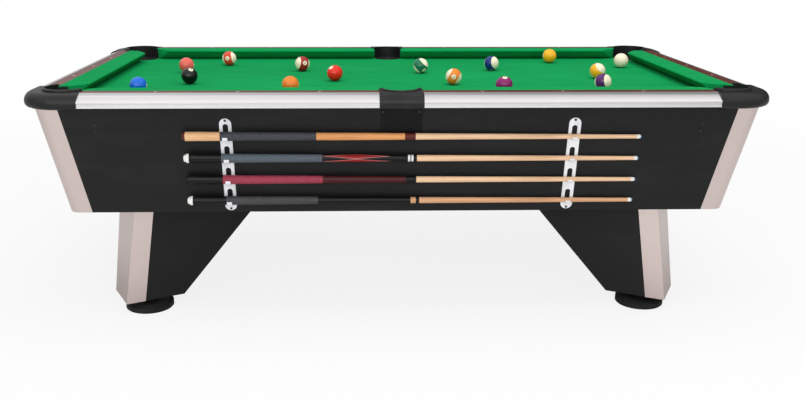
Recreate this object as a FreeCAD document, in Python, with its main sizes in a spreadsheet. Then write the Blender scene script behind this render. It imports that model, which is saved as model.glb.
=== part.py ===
"""Six-pocket pool table on four corner legs, with its cues in racks and its balls on the bed.

Frame: X runs along the table, Y across it, Z up. The origin is on the floor under the middle.
The near long side, which carries the cues, faces -Y. Every length is in millimetres.

Rails, castings and trims are laid out by their distance outward from the cushion nose line.
"""
import FreeCAD, Part
import Sketcher
import math
import os
import re

# ---------------------------------------------------------------- driving dimensions
DIMENSIONS = {
    # playing field and rails
    "play_length": 2032,            # between the end cushion noses
    "play_width": 1016,             # between the side cushion noses
    "rail_top": 787,                # height of the rail tops above the floor
    "rail_width": 165,              # cushion nose to outermost face
    "bed_drop": 40,                 # rail top down to the cloth of the bed
    "cloth_thick": 1,
    "slate_thick": 22,
    "slate_gap": 1,                 # slate edge short of the cabinet's panels
    "cushion_width": 50,
    "cloth_line": 78,               # where the rail cloth meets the laminate
    "laminate_line": 118,           # where the laminate meets the metal trim
    "laminate_thick": 2,
    "nose_height": 36.3,            # cushion nose above the bed
    "sight_line": 99,               # centres of the sights, outward from the nose line
    "sight_radius": 4.5,
    "sight_thick": 1.5,
    "trim_drop": 41,
    "trim_thick": 4,
    "trim_bevel": 23,               # drop of its sloping upper face
    "trim_crown_out": 15,           # the upper face bends here, in from its outer edge
    "trim_crown_drop": 8,
    "trim_crown_round": 50,
    "trim_groove": 1.5,
    "groove_top": 27,               # the groove's edges below the rail top
    "groove_foot": 38,
    "cushion_run": 60,              # cushions and rail backs run on under the corner castings
    "cushion_lap": 30,              # cushions run on under the side castings
    # pockets and castings
    "corner_pocket_out": 38,        # pocket centre outward from both nose lines
    "corner_pocket_radius": 64,
    "corner_mouth": 114,            # between the cushion noses
    "corner_throat": 91,            # between the jaws at the hole
    "mouth_depth": 97,
    "side_pocket_out": 46,
    "side_pocket_radius": 56,
    "side_mouth": 122,
    "side_throat": 96,
    "jaw_clear": 2,                 # rails stand back from the pocket wall
    "casting_reach": 191,           # along each rail from the outer corner
    "casting_round": 125,
    "casting_edge": 30,             # rounding of the upper edge, twice that of the lower one
    "casting_drop": 48,
    "side_casting_width": 138,
    "side_casting_drop": 43,
    "lip_rise": 7,
    "lip_width": 10,
    "liner_wall": 3.5,
    "liner_fit": 0.3,
    "liner_length": 26,
    # cabinet
    "cabinet_inset": 40,            # cabinet face behind the outermost face of the rails
    "cabinet_slope": 63,            # how far the face draws in towards the bottom
    "cabinet_height": 358,          # of its panels
    "cabinet_gap": 1,               # between rails and cabinet top
    "panel_thick": 18,
    "corner_round": 40,
    "corner_trim_width": 78,
    "corner_trim_thick": 4,
    "corner_block": 50,
    "corner_block_height": 80,
    "floor_thick": 12,
    "beam_width": 40,
    "beam_height": 90,
    "beam_inner": 350,              # beam centres from the middle
    "beam_outer": 700,
    # ball return
    "runway_width": 116,
    "runway_height": 55,
    "runway_wall": 5,
    "runway_drop": 40,              # fall of a runway over its length
    "runway_rise": 188,             # underside of the runways at their high end, above the panels' bottom
    "return_width": 420,
    "return_height": 110,
    "return_rise": 53,              # the return opening above the panels' bottom
    "tray_depth": 170,
    "tray_wall": 8,
    # legs and feet
    "leg_inset_long": 152,          # leg corner in from the cabinet's bottom end edge
    "leg_inset_wide": 49,
    "leg_turn": 27,                 # front wing turned towards the middle, degrees
    "leg_board": 22,
    "leg_clear": 45,                # underside of the leg above the floor
    "leg_front_foot": 200,
    "leg_front_head": 483,
    "leg_end_foot": 160,
    "leg_end_head": 205,
    "leg_lean_front": 57,
    "leg_lean_end": 13,
    "leg_trim_front": 62,
    "leg_trim_edge": 8,             # metal trim short of the end wing's edge
    "leg_trim_thick": 3,
    "foot_out_front": 93,           # foot centre from the leg corner, along each wing
    "foot_out_end": 62,
    "foot_block_height": 30,
    "foot_block_front": 45,         # foot block past the foot centre, along each wing
    "foot_block_end": 42,
    "head_block_height": 40,
    "head_block_side": 130,
    "pad_radius": 82.5,
    "pad_height": 26,
    "pad_hub_radius": 24,
    "pad_hub_height": 6,
    "pad_bevel": 7,
    "stem_radius": 8,
    "stem_fit": 0.05,
    "stem_seat": 8,                 # stem end above the floor, inside the pad
    "stem_length": 100,
    "stem_hex": 27,
    "stem_hex_height": 9,
    # cues and racks
    "cue_length": 1448,
    "cue_butt_radius": 15,
    "cue_joint_radius": 10.5,
    "cue_tip_radius": 6.5,
    "cue_butt_length": 730,
    "cue_shift": 40,                # middle of the cues, towards the tip
    "cue_first": 92,                # first cue below the cabinet's top edge, along the face
    "cue_pitch": 74,
    "rack_apart": 1098,
    "rack_width": 38,
    "rack_thick": 3,
    "rack_above": 53,
    "rack_below": 42,
    "hook_width": 16,
    "hook_thick": 3,
    "hook_fit": 0.5,
    "hook_tip": 1,
    "window_width": 17,
    "window_height": 34,
    # balls
    "ball_radius": 28.575,
    "ball_seat": 0.3,
    # small fittings
    "plate_width": 130,
    "plate_height": 88,
    "plate_thick": 2,
    "screw_radius": 4,
    "screw_head": 2,
    "screw_inset": 6.5,             # rack screws in from the strip's ends
    "plate_screw_inset": 8,
    "plate_screw_level": 18,
    "plate_level": 4,               # plate below the cabinet's top edge
    "panel_screw_out": 110,         # panel screws in from the corner trims
    "panel_screw_high": 60,
    "panel_screw_low": 84,
    "rail_bolt_radius": 5,
    "rail_bolt_clear": 0.5,
    "rail_bolt_out": 90,
    "rail_bolt_depth": 22,          # into the rail
    "bolt_head_radius": 9,
    "bolt_head_height": 7,
}

doc = FreeCAD.newDocument("pool_table")
sheet = doc.addObject("Spreadsheet::Sheet", "Size")
for row, (alias, number) in enumerate(DIMENSIONS.items(), start=1):
    sheet.set(f"A{row}", alias)
    sheet.set(f"B{row}", str(number))
    sheet.setAlias(f"B{row}", alias)
doc.recompute()
size = {alias: float(sheet.get(alias)) for alias in DIMENSIONS}

NODES = []

# ---------------------------------------------------------------- places worked out from the sheet
HALF_LENGTH = "(play_length / 2)"
HALF_WIDTH = "(play_width / 2)"
OUT_LENGTH = "(play_length / 2 + rail_width)"
OUT_WIDTH = "(play_width / 2 + rail_width)"
SLATE_TOP = "(rail_top - bed_drop - cloth_thick)"
CABINET_TOP = "(rail_top - bed_drop - cloth_thick - cabinet_gap)"
CABINET_LENGTH = "(play_length / 2 + rail_width - cabinet_inset)"
CABINET_WIDTH = "(play_width / 2 + rail_width - cabinet_inset)"
CABINET_BOTTOM = f"({CABINET_TOP} - cabinet_height)"
RUNWAY_LEVEL = f"({CABINET_BOTTOM} + runway_rise)"
RETURN_LEVEL = f"({CABINET_BOTTOM} + return_rise)"
SLATE_FOOT = f"({SLATE_TOP} - slate_thick)"
THROUGH = 100                   # how far a cutting tool runs past what it cuts

half_length = size["play_length"] / 2
half_width = size["play_width"] / 2
out_length = half_length + size["rail_width"]
out_width = half_width + size["rail_width"]
slate_top = size["rail_top"] - size["bed_drop"] - size["cloth_thick"]
cabinet_top = slate_top - size["cabinet_gap"]
cabinet_width = out_width - size["cabinet_inset"]
face_lean = math.degrees(math.atan2(size["cabinet_slope"], size["cabinet_height"]))
X_AXIS = FreeCAD.Vector(1, 0, 0)
Y_AXIS = FreeCAD.Vector(0, 1, 0)
Z_AXIS = FreeCAD.Vector(0, 0, 1)
QUADRANTS = [(-1, -1), (1, -1), (-1, 1), (1, 1)]
QUADRANT_NAMES = {(-1, -1): "near_left", (1, -1): "near_right", (-1, 1): "far_left", (1, 1): "far_right"}


def inner_face(half, level):
    """The panels' inner face at a level, as a distance from the middle."""
    return f"({half} - panel_thick - cabinet_slope * ({CABINET_TOP} - ({level})) / cabinet_height)"


def mirrored_span(sign, inner, outer):
    """Two expressions in rising order, for a stretch on the side that the sign gives."""
    low, high = (inner, outer) if sign > 0 else (outer, inner)
    return f"{sign} * ({low})", f"{sign} * ({high})"


# ---------------------------------------------------------------- helpers
def sized(expression):
    """Spell an expression of plain dimension names as references to the sheet."""
    return re.sub(r"[A-Za-z_]\w*", lambda word: "Size." + word[0] if word[0] in DIMENSIONS else word[0],
                  str(expression))


def bind(thing, **properties):
    """Bind properties of an object to expressions of dimension names."""
    for name, expression in properties.items():
        thing.setExpression(name, sized(expression))
    return thing


def place(thing, x="0", y="0", z="0", rotation=None):
    """Put an object where three expressions say, turned by a fixed rotation."""
    if rotation is not None:
        thing.Placement = FreeCAD.Placement(FreeCAD.Vector(), rotation)
    for axis, expression in zip("xyz", (x, y, z)):
        thing.setExpression("Placement.Base." + axis, sized(expression))
    return thing


def add(kind, label):
    """Add an object under a fresh internal name."""
    thing = doc.addObject(kind, re.sub(r"\W", "_", label))
    thing.Label = label
    return thing


def node(thing, label):
    """Name an object as one of the table's sub-parts."""
    thing.Label = label
    NODES.append(thing)
    return thing


def block(label, low, high):
    """A box between two corners given as expressions."""
    thing = bind(add("Part::Box", label), Length=f"({high[0]}) - ({low[0]})",
                 Width=f"({high[1]}) - ({low[1]})", Height=f"({high[2]}) - ({low[2]})")
    return place(thing, *low)


def frustum(label, low, high, bottom, top):
    """A solid between a rectangle at z=low and one at z=high, each (x0, x1, y0, y1)."""
    thing = bind(add("Part::Wedge", label), Ymin=low, Ymax=high,
                 Xmin=bottom[0], Xmax=bottom[1], Zmin=f"-({bottom[3]})", Zmax=f"-({bottom[2]})",
                 X2min=top[0], X2max=top[1], Z2min=f"-({top[3]})", Z2max=f"-({top[2]})")
    thing.Placement = FreeCAD.Placement(FreeCAD.Vector(), FreeCAD.Rotation(X_AXIS, 90))
    return thing


def rod(label, radius, height, x="0", y="0", z="0", rotation=None):
    """A cylinder whose axis starts at the given place."""
    return place(bind(add("Part::Cylinder", label), Radius=radius, Height=height), x, y, z, rotation)


def joined(label, pieces):
    """One object that holds several others."""
    if len(pieces) == 1:
        return pieces[0]
    thing = add("Part::MultiFuse", label)
    thing.Shapes = pieces
    return thing


def cut(label, base, tool):
    """The base with the tool taken away."""
    thing = add("Part::Cut", label)
    thing.Base = base
    thing.Tool = tool
    return thing


def common(label, base, tool):
    """What two objects share."""
    thing = add("Part::Common", label)
    thing.Base = base
    thing.Tool = tool
    return thing


def group(label, pieces):
    """Several separate solids kept as one sub-part."""
    thing = add("Part::Compound", label)
    thing.Links = pieces
    return thing


def mirrored(label, source, normal):
    """The mirror image of an object across a plane through the origin."""
    thing = add("Part::Mirroring", label)
    thing.Source = source
    thing.Normal = normal
    return thing


def rounded(label, source, chosen, radius):
    """Round the edges that a test picks."""
    doc.recompute()
    thing = add("Part::Fillet", label)
    thing.Base = source
    thing.Edges = [(number, radius, radius) for number, edge in enumerate(source.Shape.Edges, start=1)
                   if chosen(edge)]
    return thing


def outlined_sketch(body, role, outline):
    """A closed sketch on one of a body's planes; its points are pairs of expressions."""
    sketch = body.newObject("Sketcher::SketchObject", body.Name + "_outline")
    plane = [item for item in body.Origin.OriginFeatures if item.Role == role][0]
    sketch.AttachmentSupport = (plane, "")
    sketch.MapMode = "FlatFace"
    count = len(outline)
    rough = [(10.0 * index, float(index * index)) for index in range(count)]
    for index in range(count):
        start = FreeCAD.Vector(*rough[index], 0)
        end = FreeCAD.Vector(*rough[(index + 1) % count], 0)
        sketch.addGeometry(Part.LineSegment(start, end))
    for index in range(count):
        sketch.addConstraint(Sketcher.Constraint("Coincident", index, 2, (index + 1) % count, 1))
    for index, point in enumerate(outline):
        for kind, value, expression in zip(("DistanceX", "DistanceY"), rough[index], point):
            made = sketch.addConstraint(Sketcher.Constraint(kind, -1, 1, index, 1, value))
            sketch.setExpression(f"Constraints[{made}]", sized(expression))
    return sketch


def section_body(label, outline, length, start, turn):
    """A rail section (outward, up) padded along its rail."""
    body = doc.addObject("PartDesign::Body", label + "_body")
    pad = body.newObject("PartDesign::Pad", label + "_pad")
    pad.Profile = outlined_sketch(body, "XY_Plane", outline)
    bind(pad, Length=length)
    body.Tip = pad
    rotation = FreeCAD.Rotation(Z_AXIS, turn).multiply(FreeCAD.Rotation(X_AXIS, 90))
    return place(body, *start, rotation)


def turned_body(label, outline):
    """A round piece: an outline (radius, height) turned about its upright axis."""
    body = doc.addObject("PartDesign::Body", label + "_body")
    sketch = outlined_sketch(body, "XZ_Plane", outline)
    turning = body.newObject("PartDesign::Revolution", label + "_turning")
    turning.Profile = sketch
    turning.ReferenceAxis = (sketch, ["V_Axis"])
    turning.Angle = 360
    body.Tip = turning
    return body


# ---------------------------------------------------------------- rails
CASTING_END_X = "(play_length / 2 + rail_width - casting_reach)"
CASTING_END_Y = "(play_width / 2 + rail_width - casting_reach)"
SIDE_CASTING_X = "(side_casting_width / 2)"

# name: (turn of the section, nose line, along where the pad starts, toward +1 or -1)
RAILS = {
    "near_left": (270, "y", -1, f"-{SIDE_CASTING_X}", f"-{CASTING_END_X}"),
    "near_right": (270, "y", -1, CASTING_END_X, SIDE_CASTING_X),
    "far_left": (90, "y", 1, f"-{CASTING_END_X}", f"-{SIDE_CASTING_X}"),
    "far_right": (90, "y", 1, SIDE_CASTING_X, CASTING_END_X),
    "left_end": (180, "x", -1, f"-{CASTING_END_Y}", CASTING_END_Y),
    "right_end": (0, "x", 1, CASTING_END_Y, f"-{CASTING_END_Y}"),
}


def rail_piece(label, rail, outline, spare_start="0", spare_end="0"):
    """A section padded from one casting to the next, longer at its start and end by the spares."""
    turn, across, side, start, end = RAILS[rail]
    step = -1 if turn in (0, 270) else 1
    along = f"({start}) - ({step}) * ({spare_start})"
    length = f"({step}) * (({end}) - ({start})) + ({spare_start}) + ({spare_end})"
    if across == "y":
        corner = (along, f"{side} * {HALF_WIDTH}", "rail_top")
    else:
        corner = (f"{side} * {HALF_LENGTH}", along, "rail_top")
    return section_body(f"{label}_{rail}", outline, length, corner, turn)


WOOD_SECTION = [
    ("cushion_width", "-(bed_drop + cloth_thick)"),
    ("cushion_width", "0"),
    ("cloth_line", "0"),
    ("cloth_line", "-laminate_thick"),
    ("laminate_line", "-laminate_thick"),
    ("laminate_line", "-trim_thick"),
    ("rail_width - trim_crown_out - trim_thick / 2", "-trim_crown_drop - trim_thick * 1.5"),
    ("rail_width - trim_thick", "-trim_bevel - trim_thick / 2"),
    ("rail_width - trim_thick", "-trim_drop"),
]
TRIM_SECTION = [
    ("laminate_line", "-trim_thick"),
    ("laminate_line", "0"),
    ("rail_width - trim_crown_out", "-trim_crown_drop"),
    ("rail_width", "-trim_bevel"),
    ("rail_width", "-groove_top"),
    ("rail_width - trim_groove", "-groove_top - trim_groove"),
    ("rail_width - trim_groove", "-groove_foot + trim_groove"),
    ("rail_width", "-groove_foot"),
    ("rail_width", "-trim_drop"),
    ("rail_width - trim_thick", "-trim_drop"),
    ("rail_width - trim_thick", "-trim_bevel - trim_thick * 0.4"),
    ("rail_width - trim_crown_out - trim_thick / 2", "-trim_crown_drop - trim_thick * 0.9"),
]
CUSHION_SECTION = [
    ("cushion_width", "-(bed_drop - 1)"),
    ("cushion_width", "0"),
    ("7", "-1.2"),
    ("2", "-2.4"),
    ("0", "nose_height - bed_drop - 1"),
    ("2", "nose_height - bed_drop - 5"),
    ("31", "-(bed_drop - 3)"),
    ("33", "-(bed_drop - 1)"),
]


def mouth_block(label, front, back, wide, narrow):
    """The tapering gap between two jaws, from its front to its back along Y."""
    return bind(add("Part::Wedge", label), Ymin=front, Ymax=back, Xmin=f"-{wide} / 2", Xmax=f"{wide} / 2",
                X2min=f"-{narrow} / 2", X2max=f"{narrow} / 2", Zmin="0", Zmax=f"2 * {THROUGH}",
                Z2min="0", Z2max=f"2 * {THROUGH}")


def pocket_tool(label, radius_spare):
    """What the rails lose at the six pockets: each hole and the mouth before it."""
    foot = f"rail_top - {THROUGH}"
    pieces = []
    for sign_x, sign_y in QUADRANTS:
        name = f"{label}_{QUADRANT_NAMES[sign_x, sign_y]}"
        pieces.append(rod(name + "_hole", f"corner_pocket_radius + {radius_spare}", f"2 * {THROUGH}",
                          f"{sign_x} * ({HALF_LENGTH} + corner_pocket_out)",
                          f"{sign_y} * ({HALF_WIDTH} + corner_pocket_out)", foot))
        mouth = mouth_block(name + "_mouth", "0", "mouth_depth", "corner_mouth", "corner_throat")
        heading = math.degrees(math.atan2(-sign_x, sign_y))
        back = "(corner_mouth / 2 / sqrt(2))"
        place(mouth, f"{sign_x} * ({HALF_LENGTH} - {back})", f"{sign_y} * ({HALF_WIDTH} - {back})",
              foot, FreeCAD.Rotation(Z_AXIS, heading))
        pieces.append(mouth)
    for sign in (-1, 1):
        name = f"{label}_side_{'near' if sign < 0 else 'far'}"
        pieces.append(rod(name + "_hole", f"side_pocket_radius + {radius_spare}", f"2 * {THROUGH}",
                          "0", f"{sign} * ({HALF_WIDTH} + side_pocket_out)", foot))
        mouth = mouth_block(name + "_mouth", "-1", "cushion_width", "side_mouth", "side_throat")
        place(mouth, "0", f"{sign} * {HALF_WIDTH}", foot,
              FreeCAD.Rotation(Z_AXIS, 0 if sign > 0 else 180))
        pieces.append(mouth)
    return joined(label, pieces)


rail_pockets = pocket_tool("rail_pockets", "jaw_clear")


def corner_reach(rail):
    """How far the cushions and rail backs run past the casting's end, at the pad's start and end."""
    starts_at_corner = {"near_right", "far_left", "left_end", "right_end"}
    ends_at_corner = {"near_left", "far_right", "left_end", "right_end"}
    return (rail in starts_at_corner, rail in ends_at_corner)


def rail_back(rail):
    """The cloth-covered back of the rail that runs on to the corner pocket."""
    at_start, at_end = corner_reach(rail)
    outline = [("cushion_width", "-(bed_drop + cloth_thick)"), ("cushion_width", "0"),
               ("cloth_line", "0"), ("cloth_line", "-(bed_drop + cloth_thick)")]
    spares = [f"{int(at_corner)} * cushion_run" for at_corner in (at_start, at_end)]
    return rail_piece("rail_back", rail, outline, *spares)


bolt_spots = []
for sign in (-1, 1):
    for eighth in (-3, -2, -1, 1, 2, 3):
        bolt_spots.append((f"{eighth} * play_length / 8", f"{sign} * ({HALF_WIDTH} + rail_bolt_out)"))
    for quarter in (-1, 0, 1):
        bolt_spots.append((f"{sign} * ({HALF_LENGTH} + rail_bolt_out)", f"{quarter} * play_width / 4"))

bolt_holes = joined("bolt_holes", [
    rod(f"bolt_hole_{number}", "rail_bolt_radius + rail_bolt_clear", "slate_thick + rail_bolt_depth + 2",
        x, y, f"{SLATE_FOOT} - 1")
    for number, (x, y) in enumerate(bolt_spots)])

for rail in RAILS:
    wood = joined(f"wood_{rail}", [rail_piece("rail_wood", rail, WOOD_SECTION), rail_back(rail)])
    wood = cut(f"wood_at_pockets_{rail}", wood, rail_pockets)
    node(cut(f"drilled_rail_{rail}", wood, bolt_holes), f"rail_{rail}")

for rail in RAILS:
    at_start, at_end = corner_reach(rail)
    spares = ["cushion_run" if at_corner else "cushion_lap" for at_corner in (at_start, at_end)]
    rubber = rail_piece("cushion_rubber", rail, CUSHION_SECTION, *spares)
    node(cut(f"cushion_at_pockets_{rail}", rubber, rail_pockets), f"cushion_{rail}")


def is_long_edge(edge, outward, up):
    """Whether an edge runs along its rail at a given place in the section."""
    middle = edge.BoundBox.Center
    across = max(abs(middle.x) - half_length, abs(middle.y) - half_width)
    straight = max(edge.BoundBox.XLength, edge.BoundBox.YLength) > 300
    return straight and abs(across - outward) < 0.1 and abs(middle.z - size["rail_top"] - up) < 0.1


def trim_piece(rail):
    """The metal trim of one rail: a crowned upper face that slopes outward, above an upright one."""
    outward, crown = size["rail_width"] - size["trim_crown_out"], -size["trim_crown_drop"]
    return rounded(f"trim_crown_{rail}", rail_piece("trim_section", rail, TRIM_SECTION),
                   lambda edge: is_long_edge(edge, outward, crown), size["trim_crown_round"])


node(group("trims_sides", [trim_piece(rail) for rail in RAILS if "end" not in rail]), "rail_trims_sides")
node(group("trims_ends", [trim_piece("left_end"), trim_piece("right_end")]), "rail_trims_ends")

strips = []
for sign in (-1, 1):
    for start, end in ((f"-{CASTING_END_X}", f"-{SIDE_CASTING_X}"), (SIDE_CASTING_X, CASTING_END_X)):
        low_y, high_y = mirrored_span(sign, f"{HALF_WIDTH} + cloth_line", f"{HALF_WIDTH} + laminate_line")
        strips.append(block(f"side_strip_{len(strips)}", (start, low_y, "rail_top - laminate_thick"),
                            (end, high_y, "rail_top")))
    low_x, high_x = mirrored_span(sign, f"{HALF_LENGTH} + cloth_line", f"{HALF_LENGTH} + laminate_line")
    strips.append(block(f"end_strip_{len(strips)}", (low_x, f"-{CASTING_END_Y}", "rail_top - laminate_thick"),
                        (high_x, CASTING_END_Y, "rail_top")))

sight_spots = []
for sign in (-1, 1):
    for eighth in (-3, -2, -1, 1, 2, 3):
        sight_spots.append((f"{eighth} * play_length / 8", f"{sign} * ({HALF_WIDTH} + sight_line)"))
    for quarter in (-1, 0, 1):
        sight_spots.append((f"{sign} * ({HALF_LENGTH} + sight_line)", f"{quarter} * play_width / 4"))
sights = group("sight_inlays", [
    rod(f"sight_{number}", "sight_radius", "sight_thick", x, y, "rail_top - sight_thick")
    for number, (x, y) in enumerate(sight_spots)])
node(cut("laminate_with_sights", joined("laminate_strips", strips), sights), "rail_laminate")
node(sights, "sights")

# ---------------------------------------------------------------- bed
def bed_openings(label):
    """The six holes in the bed, open towards its edge."""
    pieces = []
    foot = f"{SLATE_FOOT} - {THROUGH}"
    head = f"{SLATE_TOP} + {THROUGH}"
    long = f"2 * {THROUGH}"
    for sign_x, sign_y in QUADRANTS:
        name = f"{label}_{QUADRANT_NAMES[sign_x, sign_y]}"
        centre_x = f"({HALF_LENGTH} + corner_pocket_out)"
        centre_y = f"({HALF_WIDTH} + corner_pocket_out)"
        pieces.append(rod(name, "corner_pocket_radius", long, f"{sign_x} * {centre_x}",
                          f"{sign_y} * {centre_y}", foot))
        for near_x, near_y in ((0.4, -0.75), (-0.75, 0.4)):
            low_x, high_x = mirrored_span(sign_x, f"{centre_x} + corner_pocket_radius * {near_x}",
                                          f"{centre_x} + {THROUGH}")
            low_y, high_y = mirrored_span(sign_y, f"{centre_y} + corner_pocket_radius * {near_y}",
                                          f"{centre_y} + {THROUGH}")
            pieces.append(block(f"{name}_notch_{'x' if near_x > 0 else 'y'}", (low_x, low_y, foot),
                                (high_x, high_y, head)))
    for sign in (-1, 1):
        name = f"{label}_side_{'near' if sign < 0 else 'far'}"
        centre = f"({HALF_WIDTH} + side_pocket_out)"
        pieces.append(rod(name, "side_pocket_radius", long, "0", f"{sign} * {centre}", foot))
        low_y, high_y = mirrored_span(sign, f"{centre} + side_pocket_radius * 0.55", f"{centre} + {THROUGH}")
        pieces.append(block(name + "_notch", ("-side_pocket_radius * 0.8", low_y, foot),
                            ("side_pocket_radius * 0.8", high_y, head)))
    return joined(label, pieces)


bed_holes = bed_openings("bed_openings")
slate_x = f"({inner_face(CABINET_LENGTH, SLATE_FOOT)} - slate_gap)"
slate_y = f"({inner_face(CABINET_WIDTH, SLATE_FOOT)} - slate_gap)"
slate = block("slate_blank", (f"-{slate_x}", f"-{slate_y}", SLATE_FOOT), (slate_x, slate_y, SLATE_TOP))
node(cut("slate_drilled", cut("slate_with_pockets", slate, bed_holes), bolt_holes), "slate_bed")
cloth_x = f"({HALF_LENGTH} + cushion_width)"
cloth_y = f"({HALF_WIDTH} + cushion_width)"
cloth = block("cloth_blank", (f"-{cloth_x}", f"-{cloth_y}", SLATE_TOP),
              (cloth_x, cloth_y, f"{SLATE_TOP} + cloth_thick"))
node(cut("cloth_with_pockets", cloth, bed_holes), "bed_cloth")

bolts = []
for number, (x, y) in enumerate(bolt_spots):
    shank = rod(f"rail_bolt_shank_{number}", "rail_bolt_radius", "slate_thick + rail_bolt_depth", x, y,
                SLATE_FOOT)
    head = rod(f"rail_bolt_head_{number}", "bolt_head_radius", "bolt_head_height", x, y,
               f"{SLATE_FOOT} - bolt_head_height")
    bolts.append(joined(f"rail_bolt_{number}", [shank, head]))
node(group("rail_bolt_group", bolts), "rail_bolts")


# ---------------------------------------------------------------- pocket castings
def casting_corner(sign_x, sign_y):
    """One corner casting: two arms along the rails, a round corner and a raised rim at the hole."""
    name = QUADRANT_NAMES[sign_x, sign_y]
    centre_x = f"{sign_x} * ({HALF_LENGTH} + corner_pocket_out)"
    centre_y = f"{sign_y} * ({HALF_WIDTH} + corner_pocket_out)"

    def arm(label, inner_x, inner_y, low, high, outer_less="0"):
        low_x, high_x = mirrored_span(sign_x, inner_x, f"{OUT_LENGTH} - ({outer_less})")
        low_y, high_y = mirrored_span(sign_y, inner_y, f"{OUT_WIDTH} - ({outer_less})")
        return block(f"{label}_{name}", (low_x, low_y, low), (high_x, high_y, high))

    line_x = f"{HALF_LENGTH} + cloth_line"
    line_y = f"{HALF_WIDTH} + cloth_line"
    low = "rail_top - casting_drop"
    blank = joined(f"casting_arms_{name}", [arm("long_arm", CASTING_END_X, line_y, low, "rail_top"),
                                            arm("short_arm", line_x, CASTING_END_Y, low, "rail_top")])
    corner = FreeCAD.Vector(sign_x * out_length, sign_y * out_width, 0)

    def at_corner(edge):
        middle = edge.BoundBox.Center
        return edge.BoundBox.ZLength > 10 and math.hypot(middle.x - corner.x, middle.y - corner.y) < 0.1

    def outline_at(level):
        """A test for the edges of the outer outline at a level."""
        def chosen(edge):
            box = edge.BoundBox
            far_x = abs(box.XMax if sign_x > 0 else box.XMin)
            far_y = abs(box.YMax if sign_y > 0 else box.YMin)
            on_x = abs(far_x - out_length) < 0.01 and box.YLength > 20
            on_y = abs(far_y - out_width) < 0.01 and box.XLength > 20
            arm_end = box.XLength < 0.01 and abs(abs(box.XMin) - out_length) > 1
            other_end = box.YLength < 0.01 and abs(abs(box.YMin) - out_width) > 1
            flat = abs(box.ZMin - level) < 0.01 and box.ZLength < 0.01
            return flat and (on_x or on_y) and not arm_end and not other_end
        return chosen

    shaped = rounded(f"casting_corner_{name}", blank, at_corner, size["casting_round"])
    shaped = rounded(f"casting_top_{name}", shaped, outline_at(size["rail_top"]), size["casting_edge"])
    shaped = rounded(f"casting_foot_{name}", shaped, outline_at(size["rail_top"] - size["casting_drop"]),
                     size["casting_edge"] / 2)
    seat = arm("casting_seat", f"{CASTING_END_X} - 10", f"{CASTING_END_Y} - 10", f"{low} - 1",
               SLATE_TOP, "cabinet_inset - 5")
    shaped = cut(f"casting_seated_{name}", shaped, seat)
    rim = rod(f"casting_rim_{name}", "corner_pocket_radius + lip_width", "bed_drop + lip_rise",
              centre_x, centre_y, f"{SLATE_TOP} + cloth_thick")
    rim = rounded(f"casting_rim_round_{name}", rim,
                  lambda edge: edge.BoundBox.ZMin > size["rail_top"] + 1 and edge.BoundBox.ZLength < 1,
                  size["lip_rise"] * 0.8)
    keep = joined(f"rim_keep_{name}", [
        arm("rim_keep_long", CASTING_END_X, line_y, low, "rail_top + 2 * lip_rise"),
        arm("rim_keep_short", line_x, CASTING_END_Y, low, "rail_top + 2 * lip_rise")])
    rim = common(f"casting_rim_kept_{name}", rim, keep)
    whole = joined(f"casting_whole_{name}", [shaped, rim])
    hole = rod(f"casting_hole_{name}", "corner_pocket_radius", f"2 * {THROUGH}", centre_x, centre_y,
               f"rail_top - {THROUGH}")
    return cut(f"casting_open_{name}", whole, hole)


for sign_x, sign_y in QUADRANTS:
    node(casting_corner(sign_x, sign_y), f"corner_casting_{QUADRANT_NAMES[sign_x, sign_y]}")


def casting_side(sign):
    """One side casting: a saddle over the rail with a half-round rim at the hole."""
    name = "near" if sign < 0 else "far"
    centre_y = f"{sign} * ({HALF_WIDTH} + side_pocket_out)"
    low = "rail_top - side_casting_drop"

    def saddle(label, inner, outer, bottom, top):
        low_y, high_y = mirrored_span(sign, inner, outer)
        return block(f"{label}_{name}", (f"-{SIDE_CASTING_X}", low_y, bottom), (SIDE_CASTING_X, high_y, top))

    blank = saddle("side_casting_blank", f"{HALF_WIDTH} + cushion_width", OUT_WIDTH, low, "rail_top")

    def outer_top(edge):
        middle = edge.BoundBox.Center
        along = edge.BoundBox.XLength > 50
        return along and abs(middle.z - size["rail_top"]) < 0.01 and abs(abs(middle.y) - out_width) < 0.01

    shaped = rounded(f"side_casting_top_{name}", blank, outer_top, size["casting_edge"])
    seat = saddle("side_casting_seat", f"{HALF_WIDTH} + cushion_width - 10",
                  f"{OUT_WIDTH} - cabinet_inset + 5", f"{low} - 1", SLATE_TOP)
    shaped = cut(f"side_casting_seated_{name}", shaped, seat)
    rim = rod(f"side_casting_rim_{name}", "side_pocket_radius + lip_width", "bed_drop + lip_rise * 0.5",
              "0", centre_y, f"{SLATE_TOP} + cloth_thick")
    rim = rounded(f"side_casting_rim_round_{name}", rim,
                  lambda edge: edge.BoundBox.ZMin > size["rail_top"] + 1 and edge.BoundBox.ZLength < 1,
                  size["lip_rise"] * 0.4)
    rim = common(f"side_rim_kept_{name}", rim,
                 saddle("side_rim_keep", f"{HALF_WIDTH} + cushion_width", OUT_WIDTH, low,
                        "rail_top + 2 * lip_rise"))
    whole = joined(f"side_casting_whole_{name}", [shaped, rim])
    hole = rod(f"side_casting_hole_{name}", "side_pocket_radius", f"2 * {THROUGH}", "0", centre_y,
               f"rail_top - {THROUGH}")
    return cut(f"side_casting_open_{name}", whole, hole)


for sign in (-1, 1):
    node(casting_side(sign), f"side_casting_{'near' if sign < 0 else 'far'}")

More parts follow.
